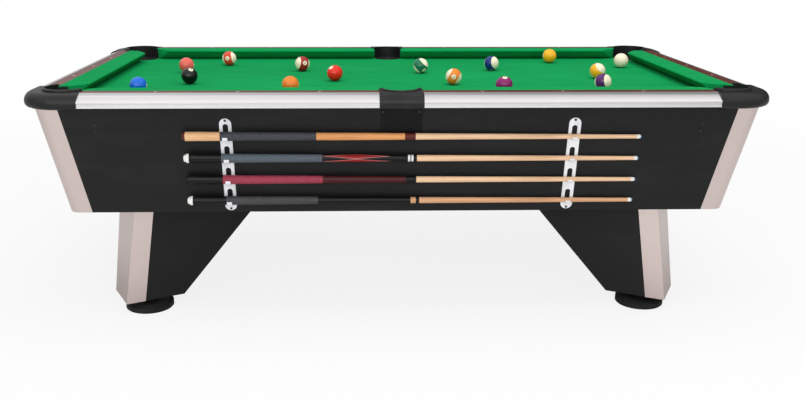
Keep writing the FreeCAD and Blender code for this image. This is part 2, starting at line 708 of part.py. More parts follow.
liners = []
for number, (x, y, radius) in enumerate(
        [(f"{sx} * ({HALF_LENGTH} + corner_pocket_out)", f"{sy} * ({HALF_WIDTH} + corner_pocket_out)",
          "corner_pocket_radius") for sx, sy in QUADRANTS]
        + [("0", f"{sign} * ({HALF_WIDTH} + side_pocket_out)", "side_pocket_radius") for sign in (-1, 1)]):
    outside = rod(f"liner_outside_{number}", f"{radius} - liner_fit", "liner_length", x, y,
                  f"{SLATE_TOP} - liner_length")
    inside = rod(f"liner_inside_{number}", f"{radius} - liner_fit - liner_wall", "liner_length + 2", x, y,
                 f"{SLATE_TOP} - liner_length - 1")
    liners.append(cut(f"liner_{number}", outside, inside))
node(group("liner_group", liners), "pocket_liners")

# ---------------------------------------------------------------- cabinet
FOOT = CABINET_BOTTOM


def leaning(half, less="0"):
    """A cabinet half size at its bottom and its top, less an inward step."""
    return f"({half} - cabinet_slope - ({less}))", f"({half} - ({less}))"


def cabinet_block(label, step):
    """The cabinet's outside, drawn in by a step."""
    low_x, high_x = leaning(CABINET_LENGTH, step)
    low_y, high_y = leaning(CABINET_WIDTH, step)
    return frustum(label, FOOT, CABINET_TOP, (f"-{low_x}", low_x, f"-{low_y}", low_y),
                   (f"-{high_x}", high_x, f"-{high_y}", high_y))


def slanted_corner(edge):
    """Whether an edge is one of the cabinet's four upright corners."""
    return edge.BoundBox.ZLength > 50


outside = rounded("cabinet_outside_round", cabinet_block("cabinet_outside", "0"), slanted_corner,
                  size["corner_round"])
inside = rounded("cabinet_skin_round", cabinet_block("cabinet_skin", "corner_trim_thick"), slanted_corner,
                 size["corner_round"] - size["corner_trim_thick"])
skin = cut("cabinet_shell", outside, inside)
corner_places = []
for sign_x, sign_y in QUADRANTS:
    spans = []
    for sign, half in ((sign_x, CABINET_LENGTH), (sign_y, CABINET_WIDTH)):
        spans.append([mirrored_span(sign, f"{half} - {lower} - corner_trim_width", f"{half} - {lower} + 10")
                      for lower in ("cabinet_slope", "0")])
    corner_places.append(frustum(f"corner_place_{QUADRANT_NAMES[sign_x, sign_y]}", FOOT, CABINET_TOP,
                                 (*spans[0][0], *spans[1][0]), (*spans[0][1], *spans[1][1])))
corner_trims = common("corner_trim_group", skin, joined("corner_places", corner_places))
node(corner_trims, "cabinet_corner_trims")


def side_panel(sign):
    """A long side of the cabinet, rebated under the corner trims."""
    name = "near" if sign < 0 else "far"
    low_x, high_x = leaning(CABINET_LENGTH, "corner_round")
    low_y = mirrored_span(sign, f"{CABINET_WIDTH} - cabinet_slope - panel_thick",
                          f"{CABINET_WIDTH} - cabinet_slope")
    high_y = mirrored_span(sign, f"{CABINET_WIDTH} - panel_thick", CABINET_WIDTH)
    panel = frustum(f"side_panel_blank_{name}", FOOT, CABINET_TOP, (f"-{low_x}", low_x, *low_y),
                    (f"-{high_x}", high_x, *high_y))
    return cut(f"side_panel_rebated_{name}", panel, corner_trims)


def end_panel(sign):
    """A short end of the cabinet; the right one is open for the ball return."""
    name = "left" if sign < 0 else "right"
    low_y, high_y = leaning(CABINET_WIDTH, "corner_round")
    low_x = mirrored_span(sign, f"{CABINET_LENGTH} - cabinet_slope - panel_thick",
                          f"{CABINET_LENGTH} - cabinet_slope")
    high_x = mirrored_span(sign, f"{CABINET_LENGTH} - panel_thick", CABINET_LENGTH)
    panel = frustum(f"end_panel_blank_{name}", FOOT, CABINET_TOP, (*low_x, f"-{low_y}", low_y),
                    (*high_x, f"-{high_y}", high_y))
    panel = cut(f"end_panel_rebated_{name}", panel, corner_trims)
    if sign > 0:
        behind = f"{CABINET_LENGTH} - cabinet_slope - {THROUGH}"
        ahead = f"{CABINET_LENGTH} + {THROUGH}"
        opening = block("return_opening", (behind, "-return_width / 2", RETURN_LEVEL),
                        (ahead, "return_width / 2", f"{RETURN_LEVEL} + return_height"))
        panel = cut("end_panel_open", panel, opening)
    return panel


node(side_panel(-1), "side_panel_near")
node(side_panel(1), "side_panel_far")
node(end_panel(-1), "end_panel_left")
node(end_panel(1), "end_panel_right")

floor_x = f"({CABINET_LENGTH} - cabinet_slope - panel_thick)"
floor_y = f"({CABINET_WIDTH} - cabinet_slope - panel_thick)"
node(block("floor_board", (f"-{floor_x}", f"-{floor_y}", FOOT), (floor_x, floor_y, f"{FOOT} + floor_thick")),
     "cabinet_floor")

BLOCK_FOOT = f"({FOOT} + floor_thick)"
BLOCK_HEAD = f"({FOOT} + floor_thick + corner_block_height)"
corner_blocks = []
for sign_x, sign_y in QUADRANTS:
    ends = []
    for level in (BLOCK_FOOT, BLOCK_HEAD):
        spans = [mirrored_span(sign, f"{inner_face(half, level)} - corner_block", inner_face(half, level))
                 for sign, half in ((sign_x, CABINET_LENGTH), (sign_y, CABINET_WIDTH))]
        ends.append((*spans[0], *spans[1]))
    name = QUADRANT_NAMES[sign_x, sign_y]
    corner_blocks.append(frustum(f"corner_block_{name}", BLOCK_FOOT, BLOCK_HEAD, *ends))
node(group("corner_block_group", corner_blocks), "corner_blocks")

beam_end = inner_face(CABINET_WIDTH, f"{SLATE_FOOT} - beam_height")
beams = [block(f"beam_{number}", (f"{spot} - beam_width / 2", f"-{beam_end}", f"{SLATE_FOOT} - beam_height"),
               (f"{spot} + beam_width / 2", beam_end, SLATE_FOOT))
         for number, spot in enumerate(("-beam_outer", "-beam_inner", "beam_inner", "beam_outer"))]
node(group("beam_group", beams), "bed_beams")

# ---------------------------------------------------------------- ball return
RUNWAY_LOW = f"({RUNWAY_LEVEL} - runway_drop)"
RUNWAY_OUT = f"({inner_face(CABINET_WIDTH, RUNWAY_LOW)} - 0.3)"
RUNWAY_LEFT = f"({inner_face(CABINET_LENGTH, RUNWAY_LOW)} - 10)"
CHUTE_BACK = f"({HALF_LENGTH} + corner_pocket_out - corner_pocket_radius - 45)"
CHUTE_TOP = f"({RUNWAY_LOW} - 5)"
CHUTE_FOOT = f"({CHUTE_TOP} - runway_height + 10)"
TRAY_FRONT = inner_face(CABINET_LENGTH, f"{RETURN_LEVEL} - tray_wall")


def trough(label, low, high, open_ends):
    """A channel between two corners: a floor and its walls, open above and at the ends along X or Y."""
    outer = block(label + "_outer", low, high)
    spare_x = "-1" if "x" in open_ends else "runway_wall"
    spare_y = "-1" if "y" in open_ends else "runway_wall"
    inner = block(label + "_inner",
                  (f"{low[0]} + {spare_x}", f"{low[1]} + {spare_y}", f"{low[2]} + runway_wall"),
                  (f"{high[0]} - ({spare_x})", f"{high[1]} - ({spare_y})", f"{high[2]} + 1"))
    return cut(label, outer, inner)


runways = []
fall = math.degrees(math.atan2(size["runway_drop"], half_length * 2))
for sign in (-1, 1):
    name = "near" if sign < 0 else "far"
    low_y, high_y = mirrored_span(sign, f"{RUNWAY_OUT} - runway_width", RUNWAY_OUT)
    channel = trough(f"runway_{name}", ("0", low_y, "0"),
                     (f"{RUNWAY_LEFT} + {CHUTE_BACK}", high_y, "runway_height"), "x")
    runways.append(place(channel, f"-{RUNWAY_LEFT}", "0", RUNWAY_LEVEL, FreeCAD.Rotation(Y_AXIS, fall)))

for sign in (-1, 1):
    name = "near" if sign < 0 else "far"
    low_y, high_y = mirrored_span(sign, "return_width / 2 - runway_wall",
                                  f"{inner_face(CABINET_WIDTH, CHUTE_FOOT)} - 0.3")
    runways.append(trough(f"cross_chute_{name}", (f"{CHUTE_BACK} + 5", low_y, CHUTE_FOOT),
                          (f"{inner_face(CABINET_LENGTH, CHUTE_FOOT)} - 0.3", high_y, CHUTE_TOP), "y"))
node(group("runway_group", runways), "ball_runways")

tray_outer = block("tray_outer", (f"{TRAY_FRONT} - tray_depth", "-(return_width / 2 + tray_wall)",
                                  f"{RETURN_LEVEL} - tray_wall"),
                   (TRAY_FRONT, "return_width / 2 + tray_wall", CHUTE_FOOT))
tray_inner = block("tray_inner",
                   (f"{TRAY_FRONT} - tray_depth + tray_wall", "-return_width / 2", RETURN_LEVEL),
                   (f"{TRAY_FRONT} + 1", "return_width / 2", f"{CHUTE_FOOT} + 1"))
node(cut("tray_hollow", tray_outer, tray_inner), "ball_return_tray")

# ---------------------------------------------------------------- legs and feet
LEG_X = f"({CABINET_LENGTH} - cabinet_slope - leg_inset_long)"
LEG_Y = f"({CABINET_WIDTH} - cabinet_slope - leg_inset_wide)"
LEG_HEIGHT = f"({CABINET_BOTTOM} - leg_clear)"
TURN = "(leg_turn * 1 deg)"
FOOT_X = f"({LEG_X} - foot_out_front * cos({TURN}) + foot_out_end * sin({TURN}))"
FOOT_Y = f"({LEG_Y} - foot_out_front * sin({TURN}) - foot_out_end * cos({TURN}))"


def leg_block(label, low, high, footprint):
    """A block of the near left leg, from its footprint (along the front wing, along the end wing).

    The leg leans outward towards its foot, so the footprint moves with the level.
    """
    ends = []
    for level in (low, high):
        share = f"(({level}) - leg_clear) / {LEG_HEIGHT}"
        ends.append([f"({edge}) + {share} * {lean}" for edge, lean in
                     zip(footprint, ("leg_lean_front", "leg_lean_front", "leg_lean_end", "leg_lean_end"))])
    return set_leg(frustum(label, low, high, *ends))


def set_leg(thing):
    """Stand a leg piece at the near left leg's corner, turned as the leg is."""
    turned = FreeCAD.Rotation(Z_AXIS, size["leg_turn"]).multiply(FreeCAD.Rotation(X_AXIS, 90))
    return place(thing, f"-{LEG_X}", f"-{LEG_Y}", "0", turned)


def leg_wing(label, foot, head):
    """A wing of the near left leg, wider at its head than at its foot."""
    top = [f"({edge}) + {lean}" for edge, lean in
           zip(head, ("leg_lean_front", "leg_lean_front", "leg_lean_end", "leg_lean_end"))]
    return set_leg(frustum(label, "leg_clear", CABINET_BOTTOM, foot, top))


def at_four_corners(label, source):
    """A piece of the near left leg and its three mirror images, by quadrant."""
    near_right = mirrored(f"{label}_near_right", source, X_AXIS)
    return {(-1, -1): source, (1, -1): near_right,
            (-1, 1): mirrored(f"{label}_far_left", source, Y_AXIS),
            (1, 1): mirrored(f"{label}_far_right", near_right, Y_AXIS)}


wings = joined("leg_wings", [
    leg_wing("front_wing", ("0", "leg_front_foot", "0", "leg_board"),
             ("0", "leg_front_head", "0", "leg_board")),
    leg_wing("end_wing", ("0", "leg_board", "0", "leg_end_foot"), ("0", "leg_board", "0", "leg_end_head"))])
leg_trim = joined("leg_trim", [
    leg_wing("leg_trim_front", *2 * [("-leg_trim_thick", "leg_trim_front", "-leg_trim_thick", "0")]),
    leg_wing("leg_trim_side", ("-leg_trim_thick", "0", "-leg_trim_thick", "leg_end_foot - leg_trim_edge"),
             ("-leg_trim_thick", "0", "-leg_trim_thick", "leg_end_head - leg_trim_edge"))])
foot_block = leg_block("foot_block_blank", "leg_clear", "leg_clear + foot_block_height",
                       ("leg_board", "foot_out_front + foot_block_front", "leg_board",
                        "foot_out_end + foot_block_end"))
foot_bore = rod("foot_bore", "stem_radius + stem_fit", "foot_block_height + 2", f"-{FOOT_X}", f"-{FOOT_Y}",
                "leg_clear - 1")
foot_block = cut("foot_block_bored", foot_block, foot_bore)
head_block = leg_block("head_block", f"{CABINET_BOTTOM} - head_block_height", CABINET_BOTTOM,
                       2 * ("leg_board", "leg_board + head_block_side"))

for corner, piece in at_four_corners("leg_wings", wings).items():
    node(piece, f"leg_{QUADRANT_NAMES[corner]}")
node(group("leg_trim_group", list(at_four_corners("leg_trim", leg_trim).values())), "leg_trims")
node(group("leg_block_group", [*at_four_corners("foot_block", foot_block).values(),
                               *at_four_corners("head_block", head_block).values()]), "leg_blocks")

PAD_OUTLINE = [
    ("0", "0"),
    ("pad_radius - 3", "0"),
    ("pad_radius", "3"),
    ("pad_radius", "pad_height - pad_bevel"),
    ("pad_radius - 2 * pad_bevel", "pad_height"),
    ("pad_hub_radius", "pad_height"),
    ("pad_hub_radius", "pad_height + pad_hub_height"),
    ("stem_radius + stem_fit", "pad_height + pad_hub_height"),
    ("stem_radius + stem_fit", "stem_seat - 0.1"),
    ("0", "stem_seat - 0.1"),
]
for sign_x, sign_y in QUADRANTS:
    name = QUADRANT_NAMES[sign_x, sign_y]
    spot = (f"{sign_x} * {FOOT_X}", f"{sign_y} * {FOOT_Y}")
    node(place(turned_body(f"foot_pad_{name}", PAD_OUTLINE), *spot), f"foot_pad_{name}")
    hexagon = bind(add("Part::Prism", f"stem_hex_{name}"), Circumradius="stem_hex / sqrt(3)",
                   Height="stem_hex_height")
    hexagon.Polygon = 6
    place(hexagon, *spot, "pad_height + pad_hub_height + 1.5")
    stem = rod(f"stem_rod_{name}", "stem_radius", "stem_length", *spot, "stem_seat")
    node(joined(f"stem_{name}", [stem, hexagon]), f"foot_stem_{name}")

# ---------------------------------------------------------------- racks and cues
face = FreeCAD.Placement(FreeCAD.Vector(0, -cabinet_width, cabinet_top), FreeCAD.Rotation(X_AXIS, face_lean))


def on_face(thing):
    """Move a piece drawn on a flat wall (X along it, -Y out of it, Z up) onto the near cabinet face."""
    thing.Placement = FreeCAD.Placement(FreeCAD.Vector(), face.Rotation)
    return place(thing, "0", f"-{CABINET_WIDTH}", CABINET_TOP)


def cue_radius(distance):
    """A cue's radius at a distance from its butt."""
    butt, joint, tip = (size["cue_butt_radius"], size["cue_joint_radius"], size["cue_tip_radius"])
    if distance < size["cue_butt_length"]:
        return butt + (joint - butt) * distance / size["cue_butt_length"]
    shaft = size["cue_length"] - size["cue_butt_length"]
    return joint + (tip - joint) * (distance - size["cue_butt_length"]) / shaft


butt_x = size["cue_shift"] - size["cue_length"] / 2
RACK_SPOTS = {"left": -size["rack_apart"] / 2, "right": size["rack_apart"] / 2}
RADIUS_AT = {side: cue_radius(spot - butt_x) for side, spot in RACK_SPOTS.items()}


def cue_centre(side, row):
    """Where a cue's axis passes a rack, on the flat wall: (x, y, z)."""
    sag = RADIUS_AT["left"] - RADIUS_AT[side]
    level = -(size["cue_first"] + row * size["cue_pitch"]) - sag
    return FreeCAD.Vector(RACK_SPOTS[side], -(size["rack_thick"] + size["hook_fit"] + RADIUS_AT[side]), level)


RACK_TOP = "-(cue_first - rack_above)"
RACK_FOOT = "-(cue_first + 3 * cue_pitch + rack_below)"


def rack(side):
    """A pressed rack strip: a plate with round ends, windows, and a hook out of each window."""
    middle = f"({'-' if side == 'left' else ''}rack_apart / 2)"
    ends = {"top": f"{RACK_TOP} - rack_width / 2", "foot": f"{RACK_FOOT} + rack_width / 2"}
    pieces = [block(f"rack_plate_{side}", (f"{middle} - rack_width / 2", "-rack_thick", ends["foot"]),
                    (f"{middle} + rack_width / 2", "0", ends["top"]))]
    for end, level in ends.items():
        pieces.append(rod(f"rack_end_{side}_{end}", "rack_width / 2", "rack_thick", middle, "0", level,
                          FreeCAD.Rotation(X_AXIS, 90)))
    windows = []
    hooks = []
    for row in range(4):
        centre = cue_centre(side, row)
        low = centre.z + size["hook_tip"]
        radius = RADIUS_AT[side]
        name = f"{side}_{row}"
        slot = size["window_width"] / 2
        windows.append(block(f"window_{name}", (f"{middle} - window_width / 2", "-rack_thick - 1", str(low)),
                             (f"{middle} + window_width / 2", "1", f"{low + size['window_height'] - slot}")))
        windows.append(rod(f"window_top_{name}", "window_width / 2", "rack_thick + 2", middle, "1",
                           f"{low + size['window_height'] - slot}", FreeCAD.Rotation(X_AXIS, 90)))
        outer = rod(f"hook_outer_{name}", f"{radius} + hook_fit + hook_thick", "hook_width",
                    f"{middle} - hook_width / 2", str(centre.y), str(centre.z), FreeCAD.Rotation(Y_AXIS, 90))
        inner = rod(f"hook_inner_{name}", f"{radius} + hook_fit", "hook_width + 2",
                    f"{middle} - hook_width / 2 - 1", str(centre.y), str(centre.z),
                    FreeCAD.Rotation(Y_AXIS, 90))
        above = block(f"hook_above_{name}", (f"{middle} - hook_width", f"-{THROUGH}", str(low)),
                      (f"{middle} + hook_width", f"{THROUGH}", f"{low} + {THROUGH}"))
        hooks.append(cut(f"hook_{name}", outer, joined(f"hook_gap_{name}", [inner, above])))
    strip = joined(f"rack_strip_{side}", pieces)
    plate = cut(f"rack_windowed_{side}", strip, joined(f"windows_{side}", windows))
    return on_face(joined(f"rack_{side}", [plate] + hooks))


for side in RACK_SPOTS:
    node(rack(side), f"cue_rack_{side}")

CUE_OUTLINE = [
    ("0", "0"),
    ("cue_butt_radius - 2.5", "0"),
    ("cue_butt_radius", "3"),
    ("cue_joint_radius", "cue_butt_length"),
    ("cue_tip_radius", "cue_length - 3"),
    ("cue_tip_radius - 2", "cue_length"),
    ("0", "cue_length"),
]
for row in range(4):
    left = face.multVec(cue_centre("left", row))
    right = face.multVec(cue_centre("right", row))
    heading = (right - left).normalize()
    cue = turned_body(f"cue_{row + 1}", CUE_OUTLINE)
    cue.Placement = FreeCAD.Placement(left - heading * (left.x - butt_x), FreeCAD.Rotation(Z_AXIS, heading))
    node(cue, f"cue_{row + 1}")

# ---------------------------------------------------------------- balls
BALL_SPOTS = {                  # where the object balls lie, as shares of half the field's length and width
    "solid_blue": (-0.845, -0.806), "solid_red": (-0.777, 0.212), "solid_black": (-0.717, -0.368),
    "stripe_orange_left": (-0.642, 0.619), "solid_orange": (-0.353, -0.771),
    "stripe_maroon": (-0.341, 0.281), "solid_scarlet": (-0.212, -0.232), "stripe_green": (0.110, 0.163),
    "stripe_orange": (0.204, -0.415), "stripe_blue": (0.389, 0.299), "solid_purple": (0.350, -0.798),
    "solid_yellow": (0.664, 0.766), "stripe_yellow": (0.746, -0.136), "stripe_purple": (0.694, -0.678),
}
CUE_BALL_SPOT = (0.918, 0.463)


def ball(label, spot):
    """A ball just clear of the cloth."""
    thing = bind(add("Part::Sphere", label), Radius="ball_radius")
    return place(thing, f"{spot[0]} * {HALF_LENGTH}", f"{spot[1]} * {HALF_WIDTH}",
                 f"{SLATE_TOP} + cloth_thick + ball_radius + ball_seat")


node(group("ball_group", [ball(f"ball_{name}", spot) for name, spot in BALL_SPOTS.items()]), "object_balls")
node(ball("white_ball", CUE_BALL_SPOT), "cue_ball")

# ---------------------------------------------------------------- small fittings
near_plate = on_face(group("near_plate", [
    block("under_plate", ("-plate_width / 2", "-plate_thick", "-plate_height - plate_level"),
          ("plate_width / 2", "0", "-plate_level"))]))
node(group("plate_pair", [near_plate, mirrored("far_plate", near_plate, Y_AXIS)]), "side_pocket_plates")

screw_spots = []
for side in ("-1", "1"):
    for level in (f"{RACK_TOP} - screw_inset", f"{RACK_FOOT} + screw_inset"):
        screw_spots.append((f"{side} * rack_apart / 2", level, "rack_thick"))
    plate_edge = "(plate_width / 2 - plate_screw_inset)"
    screw_spots.append((f"{side} * {plate_edge}", "-plate_screw_level", "plate_thick"))
    for level in ("-panel_screw_high", "-panel_screw_low"):
        screw_spots.append((f"{side} * ({CABINET_LENGTH} - corner_trim_width - panel_screw_out)", level, "0"))
screws = []
for number, (x, level, stand) in enumerate(screw_spots):
    screws.append(rod(f"screw_{number}", "screw_radius", "screw_head", x, f"-({stand})", level,
                      FreeCAD.Rotation(X_AXIS, 90)))
near_screws = on_face(joined("near_screws", screws))
far_screws = [rod(f"far_screw_{number}", "screw_radius", "screw_head", x, f"-({stand})", level,
                  FreeCAD.Rotation(X_AXIS, 90))
              for number, (x, level, stand) in enumerate(screw_spots) if stand != "rack_thick"]
far_screws = mirrored("far_screws_set", on_face(joined("far_screws", far_screws)), Y_AXIS)
node(group("screw_group", [near_screws, far_screws]), "screws")

# ---------------------------------------------------------------- write the sub-parts
doc.recompute()
for thing in doc.Objects:
    if {"Invalid", "Error"} & set(thing.State):
        raise SystemExit(f"{thing.Label} did not build: {thing.State}")
os.makedirs("parts", exist_ok=True)
for thing in NODES:
    shape = thing.Shape
    if shape.isNull() or not shape.isValid():
        raise SystemExit(f"{thing.Label} has no valid shape")
    shape.exportStep(f"parts/{thing.Label}.step")
    print(f"{thing.Label:32s} {len(shape.Solids):3d} solids {shape.Volume / 1000:12.1f} cm3")
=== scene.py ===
# %% [markdown]
# # A six-pocket pool table
#
# This file dresses a finished CAD model of a pub pool table. The CAD model brings every piece in its
# right place and size, so the work here is what a finisher does: cloth on the rails and the bed,
# grain in the laminate, a brushed surface on the trims, paint rings on the cues and numbers on the
# balls. Everything is in metres. X runs along the table, Y across it and Z up, with the origin on the
# floor under the middle, and the side with the cues faces -Y.

import math

import bmesh
import bpy
from mathutils import Matrix, Vector
from mathutils.geometry import tessellate_polygon


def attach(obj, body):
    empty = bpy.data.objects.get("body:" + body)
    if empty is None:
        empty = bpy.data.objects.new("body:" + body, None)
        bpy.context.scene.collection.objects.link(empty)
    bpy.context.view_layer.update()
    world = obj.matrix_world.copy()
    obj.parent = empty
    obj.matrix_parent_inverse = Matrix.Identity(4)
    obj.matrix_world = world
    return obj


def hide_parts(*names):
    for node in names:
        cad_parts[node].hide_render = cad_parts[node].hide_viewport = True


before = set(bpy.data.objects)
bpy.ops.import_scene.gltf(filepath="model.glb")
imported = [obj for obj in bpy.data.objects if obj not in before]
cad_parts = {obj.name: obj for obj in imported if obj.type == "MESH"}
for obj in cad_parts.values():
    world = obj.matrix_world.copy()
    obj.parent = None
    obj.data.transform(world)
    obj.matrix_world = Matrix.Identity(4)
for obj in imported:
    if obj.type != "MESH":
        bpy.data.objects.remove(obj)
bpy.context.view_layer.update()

# %% [markdown]
# ## Where things are
#
# Rails, cushions and pockets are laid out from one line: the nose of the cushions, where the playing
# field ends. A few sizes of the field are enough to place every soft edge that is built below, and
# they are the same as in the CAD model.

# %% Sizes of the table
HALF_LENGTH = 1.016  # nose lines of the end cushions
HALF_WIDTH = 0.508  # nose lines of the side cushions
RAIL_TOP = 0.787
BED = 0.747  # top of the bed's cloth
CORNER_POCKET = (0.038, 0.064)  # centre outward from both nose lines, and radius
SIDE_POCKET = (0.046, 0.056)  # centre outward from the side's nose line, and radius
FACE_LEAN = math.atan2(0.063, 0.358)  # how far the cabinet's sides lean in towards their foot
CLEAR = 0.0003  # a ball's gap to the cloth
print(f"field {2 * HALF_LENGTH:.3f} x {2 * HALF_WIDTH:.3f} m, bed {BED:.3f} m above the floor")

# %% [markdown]
# ## Camera
#
# The table is looked at from just above its rail, a little to the left of the middle, as somebody does
# who walks up to it. Three angles turn the camera: how far it looks down, how far it looks to the
# right and how far it leans. A track quaternion would leave out the last, so the camera's own axes are
# worked out. The focal length and the picture's width are both in pixels.

# %% Set the camera up
CAMERA_PLACE = (-0.15196, -3.421417, RAIL_TOP + 0.448406)
LOOK_DOWN, LOOK_RIGHT, LEAN = 0.301755, 0.028661, 0.002684
FOCAL_LENGTH, PICTURE_WIDTH, SENSOR = 905.461, 805, 36
forward = Vector((math.sin(LOOK_RIGHT) * math.cos(LOOK_DOWN), math.cos(LOOK_RIGHT) * math.cos(LOOK_DOWN),
                  -math.sin(LOOK_DOWN)))
level_right = Vector((math.cos(LOOK_RIGHT), -math.sin(LOOK_RIGHT), 0))
level_up = level_right.cross(forward)
right = level_right * math.cos(LEAN) + level_up * math.sin(LEAN)
up = level_up * math.cos(LEAN) - level_right * math.sin(LEAN)

lens = bpy.data.cameras.new("standing_view")
lens.sensor_width = SENSOR
lens.lens = SENSOR * FOCAL_LENGTH / PICTURE_WIDTH
lens.shift_x, lens.shift_y = 0.03049, 0.02785
camera = bpy.data.objects.new("standing_view", lens)
bpy.context.scene.collection.objects.link(camera)
axes = Matrix((right, up, -forward)).transposed()
camera.matrix_world = Matrix.Translation(CAMERA_PLACE) @ axes.to_4x4()
bpy.context.scene.camera = camera
bpy.context.scene.view_settings.view_transform = "Standard"
print("camera", [round(place, 3) for place in camera.location], "lens", round(lens.lens, 2), "mm")

# %% [markdown]
# ## Shader maths as plain Python
#
# A procedural finish is a formula over the surface. Written with nodes alone it is hard to read, so one
# small class wraps a node's output: `1 - mask` adds a Math node, and so does every other sum.
# `node()` adds any other node, with its settings first and then the values or links of its sockets.
# Numbers that need no node stay in Python.

# %% The socket class
class Socket:
    """A node's output, for use in Python expressions; without one, only a tree to add to."""

    def __init__(self, tree, output=None):
        self.tree = tree
        self.output = output

    def node(self, kind, inputs=None, out=0, stops=None, **settings):
        """Add a node and give back the output asked for; stops are a colour ramp's hard steps."""
        made = self.tree.nodes.new("ShaderNode" + kind)
        for name, value in settings.items():
            setattr(made, name, value)
        if stops:
            made.color_ramp.interpolation = "CONSTANT"
        for place, (position, colour) in enumerate(stops or []):
            spots = made.color_ramp.elements
            spot = spots[place] if place < len(spots) else spots.new(position)
            spot.position = position
            spot.color = (*colour, 1)
        for name, value in (inputs or {}).items():
            if isinstance(value, Socket):
                self.tree.links.new(value.output, made.inputs[name])
            else:
                made.inputs[name].default_value = value
        return Socket(self.tree, made.outputs[out])

    def maths(self, operation, *others, clamp=False):
        values = dict(enumerate((self, *others)))
        return self.node("Math", values, operation=operation, use_clamp=clamp)

    def __add__(self, other):
        return self.maths("ADD", other)

    def __sub__(self, other):
        return self.maths("SUBTRACT", other)

    def __rsub__(self, other):
        return self.node("Math", {0: other, 1: self}, operation="SUBTRACT")

    def __mul__(self, other):
        return self.maths("MULTIPLY", other)

    def __truediv__(self, other):
        return self.maths("DIVIDE", other)

    def __gt__(self, other):
        return self.maths("GREATER_THAN", other)

    def __lt__(self, other):
        return self.maths("LESS_THAN", other)

    def __abs__(self):
        return self.maths("ABSOLUTE")

    __radd__ = __add__
    __rmul__ = __mul__

    def ramp(self, low, high):
        """0 below low, 1 above high and straight between; low may be the larger one."""
        return ((self - low) / (high - low)).maths("ADD", 0, clamp=True)

    def xyz(self):
        """X, Y and Z of a point as three values."""
        split = self.node("SeparateXYZ", {0: self})
        return [Socket(self.tree, output) for output in split.output.node.outputs]

    def stretched(self, x, y, z):
        """The same point with its axes scaled."""
        return self.node("VectorMath", {0: self, 1: (x, y, z)}, operation="MULTIPLY")

    def noise(self, scale, detail=3.0, roughness=0.5, distortion=0.0):
        """Cloudy values round 0.5 at this point."""
        return self.node("TexNoise", {"Vector": self, "Scale": scale, "Detail": detail,
                                      "Roughness": roughness, "Distortion": distortion})

    def blended(self, first, second):
        """A colour between two, by this mask."""
        first, second = (c if isinstance(c, Socket) else (*c, 1) for c in (first, second))
        return self.node("Mix", {0: self, 6: first, 7: second}, out=2, data_type="RGBA")

    def bump(self, distance, strength):
        """A normal that follows this height, with its full height as a distance in metres."""
        return self.node("Bump", {"Height": self, "Distance": distance, "Strength": strength})


# %% Making a finish from a formula
def shaded(colour, share):
    """The same colour, darker by a share."""
    return tuple(share * channel for channel in colour)


def finish(recipe):
    """Turn a function of a surface point into a material of the same name."""
    material = bpy.data.materials.new(recipe.__name__)
    material.use_nodes = True
    tree = material.node_tree
    shader = tree.nodes["Principled BSDF"]
    point = Socket(tree).node("TexCoord", out="Object")
    for name, value in recipe(point).items():
        if isinstance(value, Socket):
            tree.links.new(value.output, shader.inputs[name])
        else:
            shader.inputs[name].default_value = value
    print("finish", recipe.__name__, "with", len(tree.nodes), "nodes")
    return material


# %% [markdown]
# ## Floor, background and light
#
# A pale floor runs out to the horizon and takes a soft shadow. Seen by the camera it glows, fully so
# from a few metres out, which gives the white background. Shiny surfaces see a room, pale in front and
# overhead and dim behind: that gives the trims their bands. The light on the cloth comes from a dimmer,
# even sky and two soft lamps. The overhead lamp isn't reflected, because it would burn a white stripe
# into the trims.

# %% Floor
FLOOR_REACH = 60
GLOW_NEAR, GLOW_FAR = 0.84, 1.0  # share of glow under the table, and far from it
GLOW_FROM, GLOW_TO = 1.8, 4.5  # where it starts to change, and where it is full
WHITE_LIGHT = (1, 1, 1, 1)
floor_mesh = bpy.data.meshes.new("studio_floor")
floor_mesh.from_pydata([(x * FLOOR_REACH, y * FLOOR_REACH, 0)
                        for x, y in ((-1, -1), (1, -1), (1, 1), (-1, 1))], [], [(0, 1, 2, 3)])
floor = bpy.data.objects.new("studio_floor", floor_mesh)
bpy.context.scene.collection.objects.link(floor)


@finish
def studio_white(point):
    return {"Base Color": (0.76, 0.76, 0.76, 1), "Roughness": 0.9 + 0.05 * point.noise(2.0),
            "Specular IOR Level": 0.1}


floor_mesh.materials.append(studio_white)
paper = Socket(studio_white.node_tree)
lit = Socket(paper.tree, paper.tree.nodes["Principled BSDF"].outputs[0])
glow = paper.node("Emission", {"Color": WHITE_LIGHT, "Strength": 1.0})
seen_directly = paper.node("LightPath", out="Is Camera Ray")
floor_point = paper.node("TexCoord", out="Object")
away = floor_point.node("VectorMath", {0: floor_point}, out=1, operation="LENGTH").ramp(GLOW_FROM, GLOW_TO)
share = GLOW_NEAR + (GLOW_FAR - GLOW_NEAR) * away
mixed = paper.node("MixShader", {0: share * seen_directly, 1: lit, 2: glow})
paper.tree.links.new(mixed.output, paper.tree.nodes["Material Output"].inputs["Surface"])
print("floor glows by", GLOW_NEAR, "to", GLOW_FAR)

